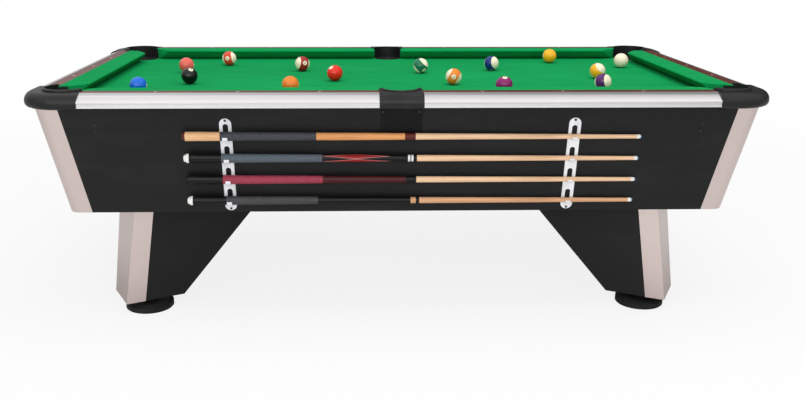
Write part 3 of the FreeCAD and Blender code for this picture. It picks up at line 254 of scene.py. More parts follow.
# %% Sky
SKY_LIGHT = 0.58  # what falls on cloth and boards
WALLS, DIMMER_BEHIND, LEFT_BEHIND = 0.2, 0.12, 0.6  # the room that shiny surfaces see
FRONT, OVERHEAD = 0.6, 0.84
world = bpy.data.worlds.new("studio_sky")
bpy.context.scene.world = world
world.use_nodes = True
sky = Socket(world.node_tree)
camera_ray = sky.node("LightPath", out="Is Camera Ray")
shiny_ray = sky.node("LightPath", out="Is Glossy Ray")
x, y, z = sky.node("TexCoord", out="Generated").xyz()
behind, left, front = y.ramp(0.1, 0.6), x.ramp(0.15, -0.35), y.ramp(0.25, -0.55)
overhead = z.ramp(0.1 + 0.45 * behind, 0.75)
room = WALLS + behind * (LEFT_BEHIND * left - DIMMER_BEHIND) + FRONT * front + OVERHEAD * overhead
strength = SKY_LIGHT + (1 - SKY_LIGHT) * camera_ray + shiny_ray * (room - SKY_LIGHT)
background = world.node_tree.nodes["Background"]
background.inputs["Color"].default_value = WHITE_LIGHT
world.node_tree.links.new(strength.output, background.inputs["Strength"])


# %% Soft lamps
def soft_lamp(name, place, aim, wide, tall, watts):
    """A rectangular lamp that looks at a point."""
    lamp = bpy.data.lights.new(name, "AREA")
    lamp.shape = "RECTANGLE"
    lamp.size, lamp.size_y, lamp.energy = wide, tall, watts
    made = bpy.data.objects.new(name, lamp)
    made.location = place
    made.rotation_mode = "QUATERNION"
    made.rotation_quaternion = (Vector(aim) - Vector(place)).to_track_quat("-Z", "Y")
    bpy.context.scene.collection.objects.link(made)
    return made


overhead_lamp = soft_lamp("overhead_light", (0.3, -0.8, 4.2), (0, 0, 0.7), wide=5.0, tall=3.0, watts=140)
overhead_lamp.visible_glossy = False
soft_lamp("front_light", (-1.0, -5.8, 2.4), (0, 0, 0.6), wide=8.0, tall=3.6, watts=165)
print("sky at", SKY_LIGHT, "with two soft lamps")

# %% [markdown]
# ## Green worsted cloth
#
# Pool cloth is a short, brushed wool. From a step away it is one even green; closer up the nap shows as
# faint streaks along the table, with a pale haze where chalk and hands have been. The weave is under a
# millimetre, so a fine noise in the bump is enough. Bed and cushions are cut from one roll, so one
# formula serves both; the cushions are a touch fresher.

# %% Cloth
def worsted(point, wear):
    """Green cloth; wear is how much the chalk shows."""
    nap = point.stretched(6, 60, 60).noise(1.0, detail=5)
    patches = point.noise(3.5, detail=4)
    fuzz = point.noise(900, detail=2)
    chalk = point.stretched(1, 1.4, 1).noise(9, detail=6, roughness=0.7).ramp(0.64, 0.8)
    tone = (0.55 * nap + 0.3 * patches + 0.3 * fuzz).ramp(0.35, 0.8)
    green = tone.blended((0.0015, 0.185, 0.048), (0.004, 0.3, 0.082))
    dusty = (chalk * wear).blended(green, (0.1, 0.4, 0.27))
    height = 0.6 * fuzz + 0.4 * nap
    return {"Base Color": dusty, "Roughness": 0.86 + 0.1 * fuzz, "Normal": height.bump(0.0002, 0.5),
            "Specular IOR Level": 0.06}


@finish
def bed_cloth_green(point):
    return worsted(point, 0.28)


@finish
def cushion_cloth_green(point):
    return worsted(point, 0.12)


# %% [markdown]
# ## Laminates
#
# The cabinet and legs are boards with a black pressed laminate. It isn't a perfect black: the sheet has
# a fine orange-peel surface, tiny pale flecks, and rub marks from coats and cues. The rails' tops carry
# a mahogany pattern whose grain runs along each strip, so on the end rails the two axes change places.

# %% Black laminate and mahogany strips
def dark_laminate(point, rubbed):
    """Black laminate; rubbed is how much duller the rub marks are."""
    peel = point.noise(520, detail=2)
    flecks = point.noise(1400, detail=1).ramp(0.68, 0.76)
    rubs = point.stretched(2.2, 2.2, 9).noise(1.6, detail=6, roughness=0.62).ramp(0.5, 0.75)
    ground = (0.7 * rubs).blended((0.007, 0.007, 0.008), (0.016, 0.016, 0.017))
    colour = (0.22 * flecks).blended(ground, (0.16, 0.16, 0.17))
    return {"Base Color": colour, "Roughness": 0.4 + 0.12 * peel + rubbed * rubs,
            "Normal": peel.bump(0.00012, 0.6), "Specular IOR Level": 0.2}


@finish
def cabinet_laminate(point):
    return dark_laminate(point, 0.12)


@finish
def leg_laminate(point):
    return dark_laminate(point.stretched(1.2, 1.2, 0.8), 0.16)


@finish
def mahogany_strip(point):
    x, y, z = point.xyz()
    on_end = abs(x) > HALF_LENGTH + 0.07  # the end rails' strips lie out there
    along = x + on_end * (y - x)
    across = y + on_end * (x - y)
    drawn = point.node("CombineXYZ", {0: 1.5 * along, 1: 30 * across, 2: 30 * z})
    grain = drawn.noise(4.5, detail=7, roughness=0.62, distortion=0.5)
    pores = point.node("CombineXYZ", {0: 12 * along, 1: 900 * across, 2: z}).noise(1.0, detail=2)
    wood = grain.ramp(0.3, 0.72).blended((0.036, 0.007, 0.005), (0.145, 0.034, 0.022))
    colour = (0.5 * pores.ramp(0.58, 0.72)).blended(wood, (0.035, 0.01, 0.007))
    return {"Base Color": colour, "Roughness": 0.32 + 0.14 * grain, "Coat Weight": 0.12,
            "Specular IOR Level": 0.24, "Coat Roughness": 0.12, "Normal": pores.bump(0.00006, 0.5)}


# %% [markdown]
# ## Metals
#
# The trims are anodised aluminium, brushed in the direction in which the strip was drawn. Very long,
# very thin noise gives that: it is stretched along the strip and packed tight across it. The trims on
# the cabinet's corners and on the legs run up and down. Their colour is partly the metal's own slight
# warmth and partly a painted reflection: pinker and darker, as if they faced a dim, warm floor.

# %% Brushed aluminium
# The corner colour is darker and pinker than the metal's own warm tint: a painted reflection of a dim, warm
# surrounding.
RAIL_METAL, CORNER_METAL_WITH_PAINTED_REFLECTION = (0.71, 0.695, 0.695), (0.68, 0.575, 0.545)
FINE = 1100  # brush lines to the metre, across the strip


def brushed(point, packing, colour, roughness):
    """Aluminium with brush lines; packing is how tight the lines lie along X, Y and Z."""
    lines = point.stretched(*packing).noise(1.0, detail=4, roughness=0.7)
    stains = point.noise(5.0, detail=5, roughness=0.65)
    tone = (0.65 * lines + 0.35 * stains).ramp(0.25, 0.75)
    return {"Base Color": tone.blended(shaded(colour, 0.86), colour), "Metallic": 1.0,
            "Roughness": roughness + 0.08 * lines + 0.06 * stains.ramp(0.55, 0.8),
            "Normal": lines.bump(0.00003, 0.18)}


@finish
def side_trim_metal(point):
    return brushed(point, (1.5, FINE, FINE), RAIL_METAL, 0.27)


@finish
def end_trim_metal(point):
    return brushed(point, (FINE, 1.5, FINE), RAIL_METAL, 0.27)


@finish
def corner_trim_metal(point):
    return brushed(point, (FINE, FINE, 3), CORNER_METAL_WITH_PAINTED_REFLECTION, 0.28)


# %% Plated, painted and blackened metal
@finish
def zinc_plate(point):
    spangle = point.noise(300, detail=3)
    rust = point.noise(60, detail=6, roughness=0.7).ramp(0.66, 0.8)
    return {"Base Color": (0.5 * rust).blended((0.6, 0.6, 0.57), (0.3, 0.2, 0.12)), "Metallic": 1.0,
            "Roughness": 0.3 + 0.18 * spangle + 0.2 * rust, "Normal": spangle.bump(0.00003, 0.4)}


@finish
def blackened_steel(point):
    grit = point.noise(900, detail=3)
    return {"Base Color": grit.ramp(0.3, 0.8).blended((0.035, 0.035, 0.036), (0.09, 0.09, 0.09)),
            "Metallic": 1.0, "Roughness": 0.36 + 0.2 * grit, "Normal": grit.bump(0.00003, 0.4)}


@finish
def rack_paint(point):
    peel = point.noise(420, detail=2)
    grime = point.stretched(1, 1, 0.4).noise(38, detail=6, roughness=0.68).ramp(0.5, 0.78)
    return {"Base Color": (0.55 * grime).blended((0.8, 0.81, 0.84), (0.46, 0.45, 0.45)),
            "Roughness": 0.34 + 0.2 * grime, "Normal": peel.bump(0.00008, 0.5)}


@finish
def black_plate_paint(point):
    peel = point.noise(600, detail=2)
    dust = point.noise(26, detail=5).ramp(0.55, 0.8)
    return {"Base Color": (0.5 * dust).blended((0.005, 0.005, 0.006), (0.016, 0.016, 0.017)),
            "Roughness": 0.34 + 0.22 * dust, "Normal": peel.bump(0.00008, 0.5),
            "Specular IOR Level": 0.12}


# %% [markdown]
# ## Castings, mouldings and rubber
#
# The pocket castings are black with a fine leather-like grain; hands polish them a little on top. The
# pads, runways and tray are plain black mouldings, and the pocket liners are ribbed rubber.

# %% Black mouldings
RIBS = 1570  # radians to the metre: a rib every 4 mm


def grained_black(point, grains, roughness, dark, light, polish=0.0):
    """Moulded black with a leather-like grain; grains to the metre, and two shades of black."""
    grain = point.node("TexVoronoi", {"Vector": point, "Scale": grains}, feature="SMOOTH_F1")
    cloudy = point.noise(14, detail=5, roughness=0.6)
    dark, light = ((shade, shade, shade * 1.05) for shade in (dark, light))  # a little blue
    return {"Base Color": cloudy.ramp(0.35, 0.75).blended(dark, light),
            "Roughness": roughness + 0.14 * cloudy + 0.08 * grain, "Normal": grain.bump(0.00025, 0.45),
            "Specular IOR Level": 0.14, "Coat Weight": polish, "Coat Roughness": 0.16}


@finish
def casting_black(point):
    return grained_black(point, grains=520, roughness=0.4, dark=0.006, light=0.013, polish=0.22)


@finish
def pad_black(point):
    return grained_black(point, grains=380, roughness=0.48, dark=0.01, light=0.022)


@finish
def moulding_black(point):
    return grained_black(point, grains=300, roughness=0.5, dark=0.012, light=0.02)


@finish
def liner_rubber(point):
    x, y, z = point.xyz()
    ribs = (z * RIBS).maths("SINE")
    dusty = point.noise(30, detail=5).ramp(0.5, 0.8)
    return {"Base Color": (0.4 * dusty).blended((0.01, 0.01, 0.01), (0.05, 0.06, 0.05)),
            "Roughness": 0.7 + 0.1 * dusty, "Normal": ribs.bump(0.0002, 0.6)}


# %% Slate, boards and pearl
@finish
def honed_slate(point):
    layers = point.stretched(2, 3, 90).noise(2.0, detail=7, roughness=0.65)
    grit = point.noise(700, detail=2)
    return {"Base Color": layers.ramp(0.3, 0.7).blended((0.045, 0.05, 0.055), (0.12, 0.125, 0.13)),
            "Roughness": 0.62 + 0.2 * grit, "Normal": (0.6 * layers + 0.4 * grit).bump(0.0003, 0.5)}


@finish
def plain_board(point):
    grain = point.stretched(2, 26, 26).noise(2.2, detail=7, roughness=0.6, distortion=0.6)
    fibres = point.stretched(30, 700, 700).noise(1.0, detail=2)
    tone = (0.8 * grain + 0.2 * fibres).ramp(0.3, 0.72)
    return {"Base Color": tone.blended((0.26, 0.165, 0.085), (0.52, 0.37, 0.21)),
            "Roughness": 0.62 + 0.15 * fibres, "Normal": fibres.bump(0.0001, 0.5)}


@finish
def pearl(point):
    swirl = point.noise(260, detail=4, roughness=0.6, distortion=1.4)
    return {"Base Color": swirl.ramp(0.3, 0.7).blended((0.74, 0.7, 0.66), (0.95, 0.93, 0.86)),
            "Roughness": 0.12 + 0.1 * swirl, "Coat Weight": 0.6, "Coat Roughness": 0.05}


# %% [markdown]
# ## Finishes for the CAD pieces that stay
#
# Most CAD pieces already have the right shape, so they only get a better surface. A dictionary from the
# start of a node's name to its finish covers them. The first start that fits is taken, so the rails'
# trims come before the rails. The nodes printed last are the cues and balls, which get their finish when
# they are made again below.

# %% Give each CAD node its finish
NODE_FINISHES = {
    "rail_trims_sides": side_trim_metal, "rail_trims_ends": end_trim_metal, "rail_laminate": mahogany_strip,
    "rail_bolts": zinc_plate, "rail_": cabinet_laminate, "cushion_": cushion_cloth_green, "sights": pearl,
    "slate_bed": honed_slate, "bed_cloth": bed_cloth_green, "corner_casting_": casting_black,
    "side_casting_": casting_black, "pocket_liners": liner_rubber, "cabinet_corner_trims": corner_trim_metal,
    "side_panel_": cabinet_laminate, "end_panel_": cabinet_laminate, "cabinet_floor": plain_board,
    "corner_blocks": plain_board, "bed_beams": plain_board, "ball_runways": moulding_black,
    "ball_return_tray": moulding_black, "leg_trims": corner_trim_metal, "leg_blocks": plain_board,
    "leg_": leg_laminate, "foot_pad_": pad_black, "foot_stem_": zinc_plate, "cue_rack_": rack_paint,
    "side_pocket_plates": black_plate_paint, "screws": blackened_steel,
}
unfinished = []
for name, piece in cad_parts.items():
    fits = [start for start in NODE_FINISHES if name.startswith(start)]
    if not fits:
        unfinished.append(name)
        continue
    for place in piece.material_slots:
        place.material = NODE_FINISHES[fits[0]]
print("no finish yet for:", unfinished)

# %% [markdown]
# ## Helpers for new pieces
#
# Some pieces are better made again here, because their looks depend on shape that CAD leaves out: a
# cushion's rounded nose, the swell of a cue's butt, a thread. Each new piece is put in the CAD piece's
# place, rides on the same body and then hides the CAD piece. Three helpers do most of the work.

# %% Building and placing a mesh
WELD = 1e-6  # points closer than this are one


def placed(name, points, faces, looks, body, stands_for, slot, at=Matrix(), crease=35):
    """Make an object in place of a CAD node; edges over crease degrees stay sharp."""
    mesh = bpy.data.meshes.new(name)
    mesh.from_pydata(points, [], faces)
    work = bmesh.new()
    work.from_mesh(mesh)
    bmesh.ops.remove_doubles(work, verts=work.verts, dist=WELD)
    bmesh.ops.recalc_face_normals(work, faces=work.faces)
    work.to_mesh(mesh)
    work.free()
    mesh.shade_smooth()
    mesh.set_sharp_from_angle(angle=math.radians(crease))
    for material in looks:
        mesh.materials.append(material)
    made = bpy.data.objects.new(name, mesh)
    bpy.context.scene.collection.objects.link(made)
    made.matrix_world = at
    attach(made, body)
    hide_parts(stands_for)
    return made


def ring(radius, height, steps):
    """Points of a circle round Z."""
    turns = [2 * math.pi * k / steps for k in range(steps)]
    return [(radius * math.cos(turn), radius * math.sin(turn), height) for turn in turns]


def lathe(outline, steps):
    """Points and faces of a solid turned round Z, from an outline of (height, radius)."""
    points, faces = [(0, 0, outline[0][0])], []
    for height, radius in outline:
        points += ring(radius, height, steps)
    points.append((0, 0, outline[-1][0]))
    last_ring = 1 + (len(outline) - 1) * steps
    for k in range(steps):
        after = (k + 1) % steps
        faces.append((0, 1 + after, 1 + k))
        for row in range(len(outline) - 1):
            low, high = 1 + row * steps, 1 + (row + 1) * steps
            faces.append((low + k, low + after, high + after, high + k))
        faces.append((last_ring + k, last_ring + after, len(points) - 1))
    return points, faces


# %% [markdown]
# ## Cushions under cloth
#
# A cushion is a strip of gum rubber, glued to the rail and covered with the same piece of cloth that
# goes on over the rail's top and ends in a groove beside the laminate. The rubber's nose is the only
# sharp part; cloth pulled over it rounds it off. At the pockets the rubber is cut back at an angle, and
# next to the casting the cloth follows the casting's curve, so the ends are worked out from the
# distance behind the nose: the mouth's straight cut first, then the casting's circle. Below,
# `out` is that distance, and heights are from the rail's top.

# %% Cushion covers
RAIL_EDGE = 0.0501  # where the cushion is glued to the rail
RUBBER_FOOT = 0.031  # back end of the rubber's slanted face
NOSE_ROUND, END_ROUND = 0.006, 0.003  # how far the rounding of the nose and of the ends reaches
SPANS = 24  # sections along a cushion
CORNER_CUT, SIDE_CUT = (-0.0806, 1.268), (0.061, -0.26)  # the mouths' cuts: at the nose, and how they run
CORNER_REACH, SIDE_REACH = CORNER_POCKET[1] + 0.0014, SIDE_POCKET[1] + 0.002  # the castings' circles
SIDE_RAIL_END = 0.069
COVER_TOP = [(0.0783, -0.0030), (0.0780, -0.0002), (0.0770, 0.0005), (0.0690, 0.0006), (0.0600, 0.0006),
             (0.0503, 0.0006), (0.0500, 0.0006), (0.0450, 0.0006), (0.0400, 0.0005), (0.0300, 0.0002),
             (0.0200, -0.0003), (0.0100, -0.0009), (0.0060, -0.0013), (0.0040, -0.0016), (0.0025, -0.0022),
             (0.0015, -0.0028), (0.0007, -0.0036), (0.0003, -0.0042), (0.0000, -0.0052)]
NOSE_BACK = [(0.0003, -0.0064), (0.0007, -0.0072), (0.0015, -0.0084)]


def under(out):
    """Height of the cover's lower side: the slanted face, the rubber's foot, then the cloth on the rail."""
    if out > RAIL_EDGE:
        return -0.0032
    if out > RUBBER_FOOT:
        return max(-0.0395, -0.037 - 1.2 * (out - RUBBER_FOOT))
    for (a, low), (b, high) in zip(NOSE_BACK, NOSE_BACK[1:] + [(RUBBER_FOOT, -0.037)]):
        if a <= out <= b:
            return low + (high - low) * (out - a) / (b - a)
    (tip, back), (beside, below) = COVER_TOP[-1], NOSE_BACK[0]
    return back + (below - back) * (out - tip) / (beside - tip)


def at_corner(out):
    """Where a cushion ends next to a corner pocket, from the crossing nose line."""
    middle = CORNER_POCKET[0]
    casting = middle - math.sqrt(CORNER_REACH ** 2 - (out - middle) ** 2)
    return min(CORNER_CUT[0] + CORNER_CUT[1] * out, casting)


def at_side(out):
    """Where a side cushion ends next to the side pocket, from the table's middle."""
    if out > RAIL_EDGE:
        return SIDE_RAIL_END
    casting = math.sqrt(max(SIDE_REACH ** 2 - (out - SIDE_POCKET[0]) ** 2, 0))
    return max(SIDE_CUT[0] + SIDE_CUT[1] * out, casting)


def cover(name, start, stop, place):
    """One cushion's cover; start and stop give its ends, place turns (along, out, height) into a point."""
    turns = [math.radians(step) for step in (0, 22, 45, 67, 90)]
    rounding = [(END_ROUND * (1 - math.cos(turn)), END_ROUND * (1 - math.sin(turn))) for turn in turns]
    columns = [(0, inward, pull) for inward, pull in rounding]  # share of the length, shift, pulled in
    columns += [(k / SPANS, END_ROUND * (1 - 2 * k / SPANS), 0) for k in range(1, SPANS)]
    columns += [(1, -inward, pull) for inward, pull in rounding[::-1]]
    points, faces = [], []
    for share, shift, pull in columns:
        for upper in (True, False):
            for out, top in COVER_TOP[::-1]:
                on_rubber = out < RAIL_EDGE
                along = start(out) + share * (stop(out) - start(out)) + shift
                drawn = pull if on_rubber else min(pull, 0.0012)
                lean = max(0.0, 1 - out / NOSE_ROUND)
                level = top - drawn * (1 - 0.6 * lean) if upper else under(out) + 0.4 * drawn * on_rubber
                points.append(place(along, out + drawn * lean, level))
    row = len(COVER_TOP)
    for column in range(len(columns) - 1):
        here, there = 2 * row * column, 2 * row * (column + 1)
        for k in range(row - 1):
            faces.append((here + k, here + k + 1, there + k + 1, there + k))
            faces.append((here + row + k, there + row + k, there + row + k + 1, here + row + k + 1))
        faces.append((here, there, there + row, here + row))
        faces.append((here + row - 1, here + 2 * row - 1, there + 2 * row - 1, there + row - 1))
    for here in (0, 2 * row * (len(columns) - 1)):
        for k in range(row - 1):
            faces.append((here + k, here + row + k, here + row + k + 1, here + k + 1))
    return placed(name, points, faces, [cushion_cloth_green], "table",
                  "cushion_" + name.split("cover_")[1], "covered_cushion", crease=40)


for across, side in ((-1, "near"), (1, "far")):
    for along, end in ((-1, "left"), (1, "right")):
        cover(f"cover_{side}_{end}", at_side, lambda out: HALF_LENGTH + at_corner(out),
              lambda a, out, level, x=along, y=across: (x * a, y * (HALF_WIDTH + out), RAIL_TOP + level))
for along, end in ((-1, "left_end"), (1, "right_end")):
    cover(f"cover_{end}", lambda out: -HALF_WIDTH - at_corner(out), lambda out: HALF_WIDTH + at_corner(out),
          lambda a, out, level, x=along: (x * (HALF_LENGTH + out), a, RAIL_TOP + level))
print("six cushion covers")

# %% [markdown]
# ## Cues
#
# A cue is turned from maple: a heavy butt with a linen wrap, a joint, and a slender shaft that ends in
# a white ferrule and a leather tip. The paint and the wrap differ from cue to cue, but every one is a
# row of bands along its length, so a finish is a list of bands, each with a colour and a kind. One
# colour ramp with hard steps turns the distance from the butt into the colour, and a second one into how
# much grain and linen there is. Spears are inlaid points, four round the butt, edged in another colour.

# %% A finish from bands of paint
CUE = 1.448
THREAD_STEP = 0.0011  # of the linen's winding
KINDS = {"paint": (0, 0), "wood": (1, 0), "linen": (0, 1)}


def cue_finish(name, bands, spears=None):
    """Bands are (start in mm from the butt, colour, kind); spears are (start, stop, edge, heart)."""
    colours = [(start / 1000 / CUE, colour) for start, colour, kind in bands]
    surfaces = [(start / 1000 / CUE, (*KINDS[kind], 0)) for start, colour, kind in bands]

    def recipe(point):
        x, y, z = point.xyz()
        share = z / CUE
        colour = share.node("ValToRGB", {"Fac": share}, stops=colours)
        grained, wrapped = share.node("ValToRGB", {"Fac": share}, stops=surfaces).xyz()[:2]
        if spears:
            first, last, edge, heart = spears
            middle, half = (first + last) / 2000, (last - first) / 2000
            turn = y.maths("ARCTAN2", x) * (4 / (2 * math.pi))
            apart = 2 * abs(turn.maths("FRACT") - 0.5)
            width = 1 - abs(z - middle) / half
            colour = (width > apart).blended(colour, edge)
            colour = (width - 0.16 > apart * 1.05).blended(colour, heart)
        grain = point.stretched(150, 150, 5).noise(1.0, detail=6, roughness=0.6, distortion=0.4)
        colour = (grained * grain.ramp(0.42, 0.75) * 0.8).blended(colour, colour.stretched(0.62, 0.52, 0.42))
        flecks = point.stretched(900, 900, 1500).noise(1.0, detail=1).ramp(0.54, 0.64)
        colour = (wrapped * flecks * 0.35).blended(colour, (0.42, 0.42, 0.44))
        handled = point.stretched(30, 30, 8).noise(1.0, detail=5, roughness=0.65).ramp(0.5, 0.8)
        colour = (0.12 * handled).blended(colour, (0.1, 0.085, 0.07))
        threads = (z * (2 * math.pi / THREAD_STEP)).maths("SINE") * wrapped
        return {"Base Color": colour, "Roughness": 0.2 + 0.26 * wrapped + 0.2 * handled,
                "Specular IOR Level": 0.14, "Coat Weight": 0.06 * (1 - wrapped), "Coat Roughness": 0.08,
                "Normal": (threads + 0.3 * grain * grained).bump(0.00012, 0.6)}
    recipe.__name__ = name
    return finish(recipe)


BLACK, WHITE, CHALK = (0.005, 0.005, 0.006), (0.78, 0.77, 0.74), (0.1, 0.22, 0.38)
MAPLE = (0.8, 0.54, 0.34)
FERRULE_AND_TIP = [(1426, WHITE, "paint"), (1440, CHALK, "paint")]
cue_paint = {
    1: cue_finish("cue_paint_tan", [
        (0, (0.09, 0.025, 0.018), "paint"), (10, (0.78, 0.48, 0.25), "wood"),
        (114, (0.022, 0.026, 0.034), "linen"), (418, (0.7, 0.32, 0.12), "wood"),
        (691, (0.1, 0.015, 0.012), "paint"), (729, MAPLE, "wood"), *FERRULE_AND_TIP]),
    2: cue_finish("cue_paint_spears", [
        (0, WHITE, "paint"), (15, BLACK, "paint"), (114, (0.06, 0.082, 0.105), "linen"),
        (432, BLACK, "paint"), (702, WHITE, "paint"), (708, (0.25, 0.25, 0.26), "paint"),
        (714, WHITE, "paint"), (721, BLACK, "paint"), (734, MAPLE, "wood"), *FERRULE_AND_TIP],
        spears=(432, 654, (0.5, 0.17, 0.16), (0.24, 0.008, 0.01))),
    3: cue_finish("cue_paint_crimson", [
        (0, BLACK, "paint"), (116, (0.3, 0.016, 0.045), "linen"), (432, (0.06, 0.008, 0.01), "wood"),
        (700, BLACK, "paint"), (732, MAPLE, "wood"), *FERRULE_AND_TIP]),
    4: cue_finish("cue_paint_black", [
        (0, WHITE, "paint"), (12, BLACK, "paint"), (122, (0.03, 0.031, 0.034), "linen"),
        (418, (0.003, 0.003, 0.003), "paint"), (713, (0.55, 0.3, 0.15), "paint"),
        (733, BLACK, "paint"), (744, (0.64, 0.36, 0.2), "wood"), *FERRULE_AND_TIP]),
}

# %% [markdown]
# The outline gives the butt its soft end, the wrap its step of a quarter of a millimetre, the joint its
# fine grooves and the tip its dome. Between those the radius only follows the taper. Where a cue lies is
# read from the CAD cue: the middle of each of its two end discs.

# %% Turn the cues
JOINT = 0.730
END_RADIUS, JOINT_RADIUS, TIP_RADIUS = 0.0150, 0.0105, 0.0065
PINCH = 0.00012  # how much each band draws in at its two ends


def cue_radius(along):
    """The taper: a stout butt, then a shaft."""
    if along < JOINT:
        return END_RADIUS - (END_RADIUS - JOINT_RADIUS) * along / JOINT
    return JOINT_RADIUS - (JOINT_RADIUS - TIP_RADIUS) * (along - JOINT) / (CUE - JOINT)


outline = [(0.0, 0.0085), (0.0012, 0.0105), (0.003, 0.0115), (0.0075, 0.0118), (0.0078, 0.0138),
           (0.0090, 0.0146), (0.0105, 0.01485)]
for start, stop, swell in ((0.0125, 0.113, 0), (0.1145, 0.417, 0.00025), (0.4185, 0.704, 0),
                           (0.7052, 0.7185, 0.0001), (0.7197, 0.7290, 0.0001), (0.7305, 0.7400, 0),
                           (0.7412, 1.4255, 0), (1.4265, 1.4395, 0.0001)):
    for step in range(5):
        along = start + (stop - start) * step / 4
        outline.append((along, cue_radius(along) + swell - (PINCH if step in (0, 4) else 0)))
outline += [(1.4400, 0.0064), (1.4425, 0.0062), (1.4450, 0.0053), (1.4468, 0.0037), (1.4478, 0.0018),
            (1.4480, 0.0006)]

for number, paint in cue_paint.items():
    spots = [spot.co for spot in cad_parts[f"cue_{number}"].data.vertices]
    ends = []
    for edge in (min(spot.x for spot in spots), max(spot.x for spot in spots)):
        rim = [spot for spot in spots if abs(spot.x - edge) < 0.0004]  # the end disc's edge
        ends.append(Vector([(min(s[k] for s in rim) + max(s[k] for s in rim)) / 2 for k in range(3)]))
    axis = (ends[1] - ends[0]).normalized()
    facing = (Vector((0, -1, 0)) + axis * axis.y).normalized()
    at = Matrix((facing, axis.cross(facing), axis)).transposed().to_4x4()
    at.translation = ends[0]
    reach = (ends[1] - ends[0]).length
    stretch = [(along * reach / CUE, radius) for along, radius in outline]
    placed(f"turned_cue_{number}", *lathe(stretch, 40), [paint], f"cue_{number}", f"cue_{number}",
           "cue_wood", at, crease=28)
    print(f"cue {number}: {reach:.3f} m, butt at {[round(v, 3) for v in ends[0]]}")

# %% [markdown]
# ## Balls
#
# The balls are cast phenolic resin, 57 mm across, ground and polished to a hard gloss, with the colour
# cast right through. A striped ball is ivory with a band round it; on every object ball two ivory discs
# opposite each other carry the number. Band and discs are cut from the ball's own coordinates, and each
# ball is turned so that its disc looks the way it lies. The digits are thin inlays: text that is turned
# into a mesh, sliced so that it can bend, and wrapped on the sphere.

# %% Resin
BALL = 0.028575
DISC, BAND = 0.9548 * BALL, 0.55 * BALL  # the planes that cut off the discs and the band
IVORY_RESIN = (0.8, 0.74, 0.56)


def resin(name, colour, striped):
    """The finish of one ball."""
    def recipe(point):
        x, y, z = point.xyz()
        disc = abs(x) > DISC
        paint = (abs(z) < BAND) * (1 - disc) if striped else 1 - disc
        swirl = point.noise(55, detail=4, distortion=0.8)
        dust = point.noise(120, detail=6, roughness=0.7).ramp(0.6, 0.78)
        cast = swirl.ramp(0.3, 0.8).blended(colour, shaded(colour, 0.86))
        ivory = swirl.ramp(0.3, 0.8).blended(IVORY_RESIN, (0.74, 0.66, 0.47))
        body = paint.blended(ivory, cast) if colour != IVORY_RESIN else ivory
        return {"Base Color": (0.06 * dust).blended(body, (0.45, 0.55, 0.5)),
                "Roughness": 0.1 + 0.25 * dust, "Specular IOR Level": 0.32,
                "Normal": dust.bump(0.00002, 0.4)}
    recipe.__name__ = name
    return finish(recipe)


@finish
def number_ink(point):
    worn = point.noise(700, detail=3).ramp(0.55, 0.8)
    return {"Base Color": (0.3 * worn).blended((0.012, 0.012, 0.012), (0.08, 0.08, 0.08)),
            "Roughness": 0.15 + 0.2 * worn, "Coat Weight": 0.6}


DIGIT_SIZE, DIGIT_RISE, DIGIT_SUNK = 0.0105, 0.0002, 0.00015
SLICE, SLICES = 0.001, 8  # the text is cut every millimetre, so far each way


def digits(number):
    """Points and faces of a number, wrapped on the ball's +X and -X sides."""
    text = bpy.data.curves.new("digits", "FONT")
    text.body, text.size, text.extrude = str(number), DIGIT_SIZE, DIGIT_RISE
    text.align_x, text.align_y = "CENTER", "CENTER"
    holder = bpy.data.objects.new("digits", text)
    bpy.context.scene.collection.objects.link(holder)
    bpy.context.view_layer.update()
    flat = bpy.data.meshes.new_from_object(holder.evaluated_get(bpy.context.evaluated_depsgraph_get()))
    bpy.data.objects.remove(holder)
    work = bmesh.new()
    work.from_mesh(flat)
    bmesh.ops.remove_doubles(work, verts=work.verts, dist=1e-7)
    for step in range(-SLICES, SLICES + 1):
        for normal in ((1, 0, 0), (0, 1, 0)):
            bmesh.ops.bisect_plane(work, geom=work.verts[:] + work.edges[:] + work.faces[:],
                                   plane_co=Vector(normal) * step * SLICE, plane_no=normal)
    work.verts.index_update()
    points, faces = [], []
    for side in (1, -1):
        base = len(points)
        for spot in work.verts:
            way = Vector((side, side * spot.co.x / BALL, spot.co.y / BALL)).normalized()
            points.append(way * (BALL - DIGIT_SUNK + spot.co.z))
        faces += [tuple(base + corner.index for corner in face.verts) for face in work.faces]
    work.free()
    return points, faces


# %% Lay the balls out
def ball(name, place, number, look, disc, stripe_axis, stands_for):
    """One ball: place as shares of the half field, disc and stripe_axis as directions of its X and Z."""
    work = bmesh.new()
    bmesh.ops.create_icosphere(work, subdivisions=5, radius=BALL)
    points = [spot.co.copy() for spot in work.verts]
    faces = [tuple(corner.index for corner in face.verts) for face in work.faces]
    work.free()
    on_ball = len(faces)
    if number:
        ink_points, ink_faces = digits(number)
        faces += [tuple(len(points) + corner for corner in face) for face in ink_faces]
        points += ink_points
    z = Vector(stripe_axis).normalized()
    x = (Vector(disc) - z * z.dot(Vector(disc))).normalized()
    at = Matrix((x, z.cross(x), z)).transposed().to_4x4()
    at.translation = (place[0] * HALF_LENGTH, place[1] * HALF_WIDTH, BED + BALL + CLEAR)
    made = placed(name, points, faces, [look, number_ink], stands_for, stands_for, "ball_resin", at)
    for face in made.data.polygons:
        if face.index >= on_ball:
            face.material_index = 1
            face.use_smooth = False
    return made


